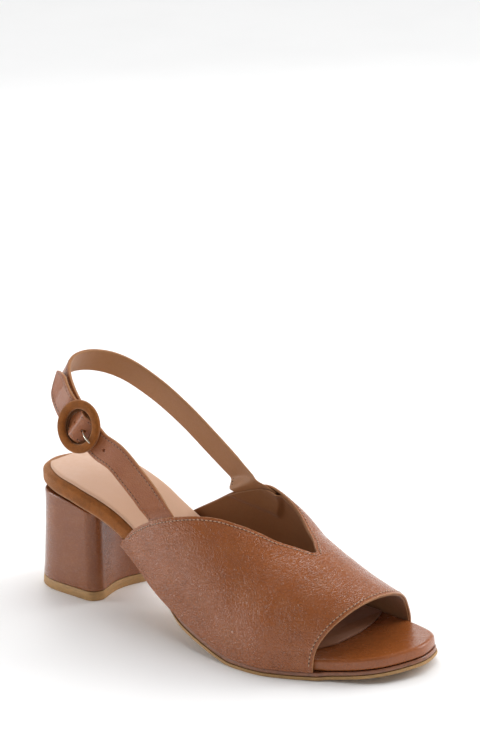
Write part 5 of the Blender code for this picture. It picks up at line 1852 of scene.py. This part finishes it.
def room_light(studio):
    """A world with pale walls and a dim ceiling, and a broad sun that leaves no reflection."""
    world = bpy.data.worlds.new("room")
    world.use_nodes = True
    walls = world.node_tree
    height = add(walls, "ShaderNodeTexCoord").outputs["Generated"]
    height = add(walls, "ShaderNodeSeparateXYZ", {0: height}).outputs["Z"]
    glow = ramp(walls, height, WALLS_END, CEILING_START, studio.room, studio.ceiling)
    walls.links.new(glow, walls.nodes["Background"].inputs[1])
    walls.nodes["Background"].inputs[0].default_value = (1.0, 1.0, 1.0, 1.0)
    bpy.context.scene.world = world
    sun = bpy.data.lights.new("overhead", "SUN")
    sun.energy, sun.angle = studio.overhead, SUN_WIDTH
    overhead = linked("overhead", sun)
    overhead.visible_glossy = False
    overhead.rotation_euler = Vector(SUN_FROM).to_track_quat("Z", "Y").to_euler()


def softbox(name, at, aim, size, power):
    data = bpy.data.lights.new(name, "AREA")
    data.shape, data.size, data.size_y = "RECTANGLE", size[0], size[1]
    data.energy = power
    lamp = linked(name, data)
    lamp.location = at
    lamp.rotation_euler = (Vector(aim) - Vector(at)).to_track_quat("-Z", "Y").to_euler()


def photo_camera(lens):
    a, e, roll = CAMERA_AZIMUTH, CAMERA_ELEVATION, CAMERA_ROLL
    back = Vector((math.sin(a) * math.cos(e), -math.cos(a) * math.cos(e), math.sin(e)))
    right = Vector((math.cos(a), math.sin(a), 0.0))
    up = back.cross(right)
    level = right * math.cos(roll) + up * math.sin(roll)
    upright = up * math.cos(roll) - right * math.sin(roll)
    data = bpy.data.cameras.new("photo_camera")
    data.lens, data.sensor_width, data.sensor_fit = lens, SENSOR_WIDTH, "AUTO"
    data.clip_start, data.clip_end = 0.05, 30.0
    camera = linked("photo_camera", data)
    camera.matrix_world = Matrix((level, upright, back)).transposed().to_4x4()
    camera.location = CAMERA_AT
    bpy.context.scene.camera = camera


class SANDAL_OT_studio(bpy.types.Operator):
    """Make the pale floor, the soft lights and the camera at the photograph's angle"""
    bl_idname = "sandal.studio"
    bl_label = "Studio"

    def execute(self, context):
        studio = scene_settings()[2]
        studio_floor()
        room_light(studio)
        for name, at, aim, size, setting in SOFTBOXES:
            softbox(name, at, aim, size, getattr(studio, setting))
        photo_camera(studio.lens)
        context.scene.view_settings.view_transform = "Standard"
        return {"FINISHED"}


STEPS = ("finishes", "vamp", "straps", "buckle", "footbed", "sole", "heel", "studio")


class SANDAL_PT_panel(bpy.types.Panel):
    """The sandal's pieces in the order in which they are made"""
    bl_idname = "SANDAL_PT_panel"
    bl_label = "Sandal"
    bl_space_type = "VIEW_3D"
    bl_region_type = "UI"
    bl_category = "Sandal"

    def draw(self, context):
        for step in STEPS:
            self.layout.operator("sandal." + step)
        for settings in scene_settings():
            for name in settings.bl_rna.properties.keys():
                if name not in ("rna_type", "name"):
                    self.layout.prop(settings, name)


CLASSES = (
    SandalTones, SandalSizes, StudioSettings, SANDAL_OT_finishes, SANDAL_OT_vamp, SANDAL_OT_straps,
    SANDAL_OT_buckle, SANDAL_OT_footbed, SANDAL_OT_sole, SANDAL_OT_heel, SANDAL_OT_studio, SANDAL_PT_panel,
)


def register():
    for kind in CLASSES:
        bpy.utils.register_class(kind)
    bpy.types.Scene.sandal_tones = bpy.props.PointerProperty(type=SandalTones)
    bpy.types.Scene.sandal_sizes = bpy.props.PointerProperty(type=SandalSizes)
    bpy.types.Scene.sandal_studio = bpy.props.PointerProperty(type=StudioSettings)


def unregister():
    del bpy.types.Scene.sandal_tones, bpy.types.Scene.sandal_sizes, bpy.types.Scene.sandal_studio
    for kind in reversed(CLASSES):
        bpy.utils.unregister_class(kind)


def main():
    register()
    for step in STEPS:
        getattr(bpy.ops.sandal, step)()
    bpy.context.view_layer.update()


if __name__ == "__main__":
    main()
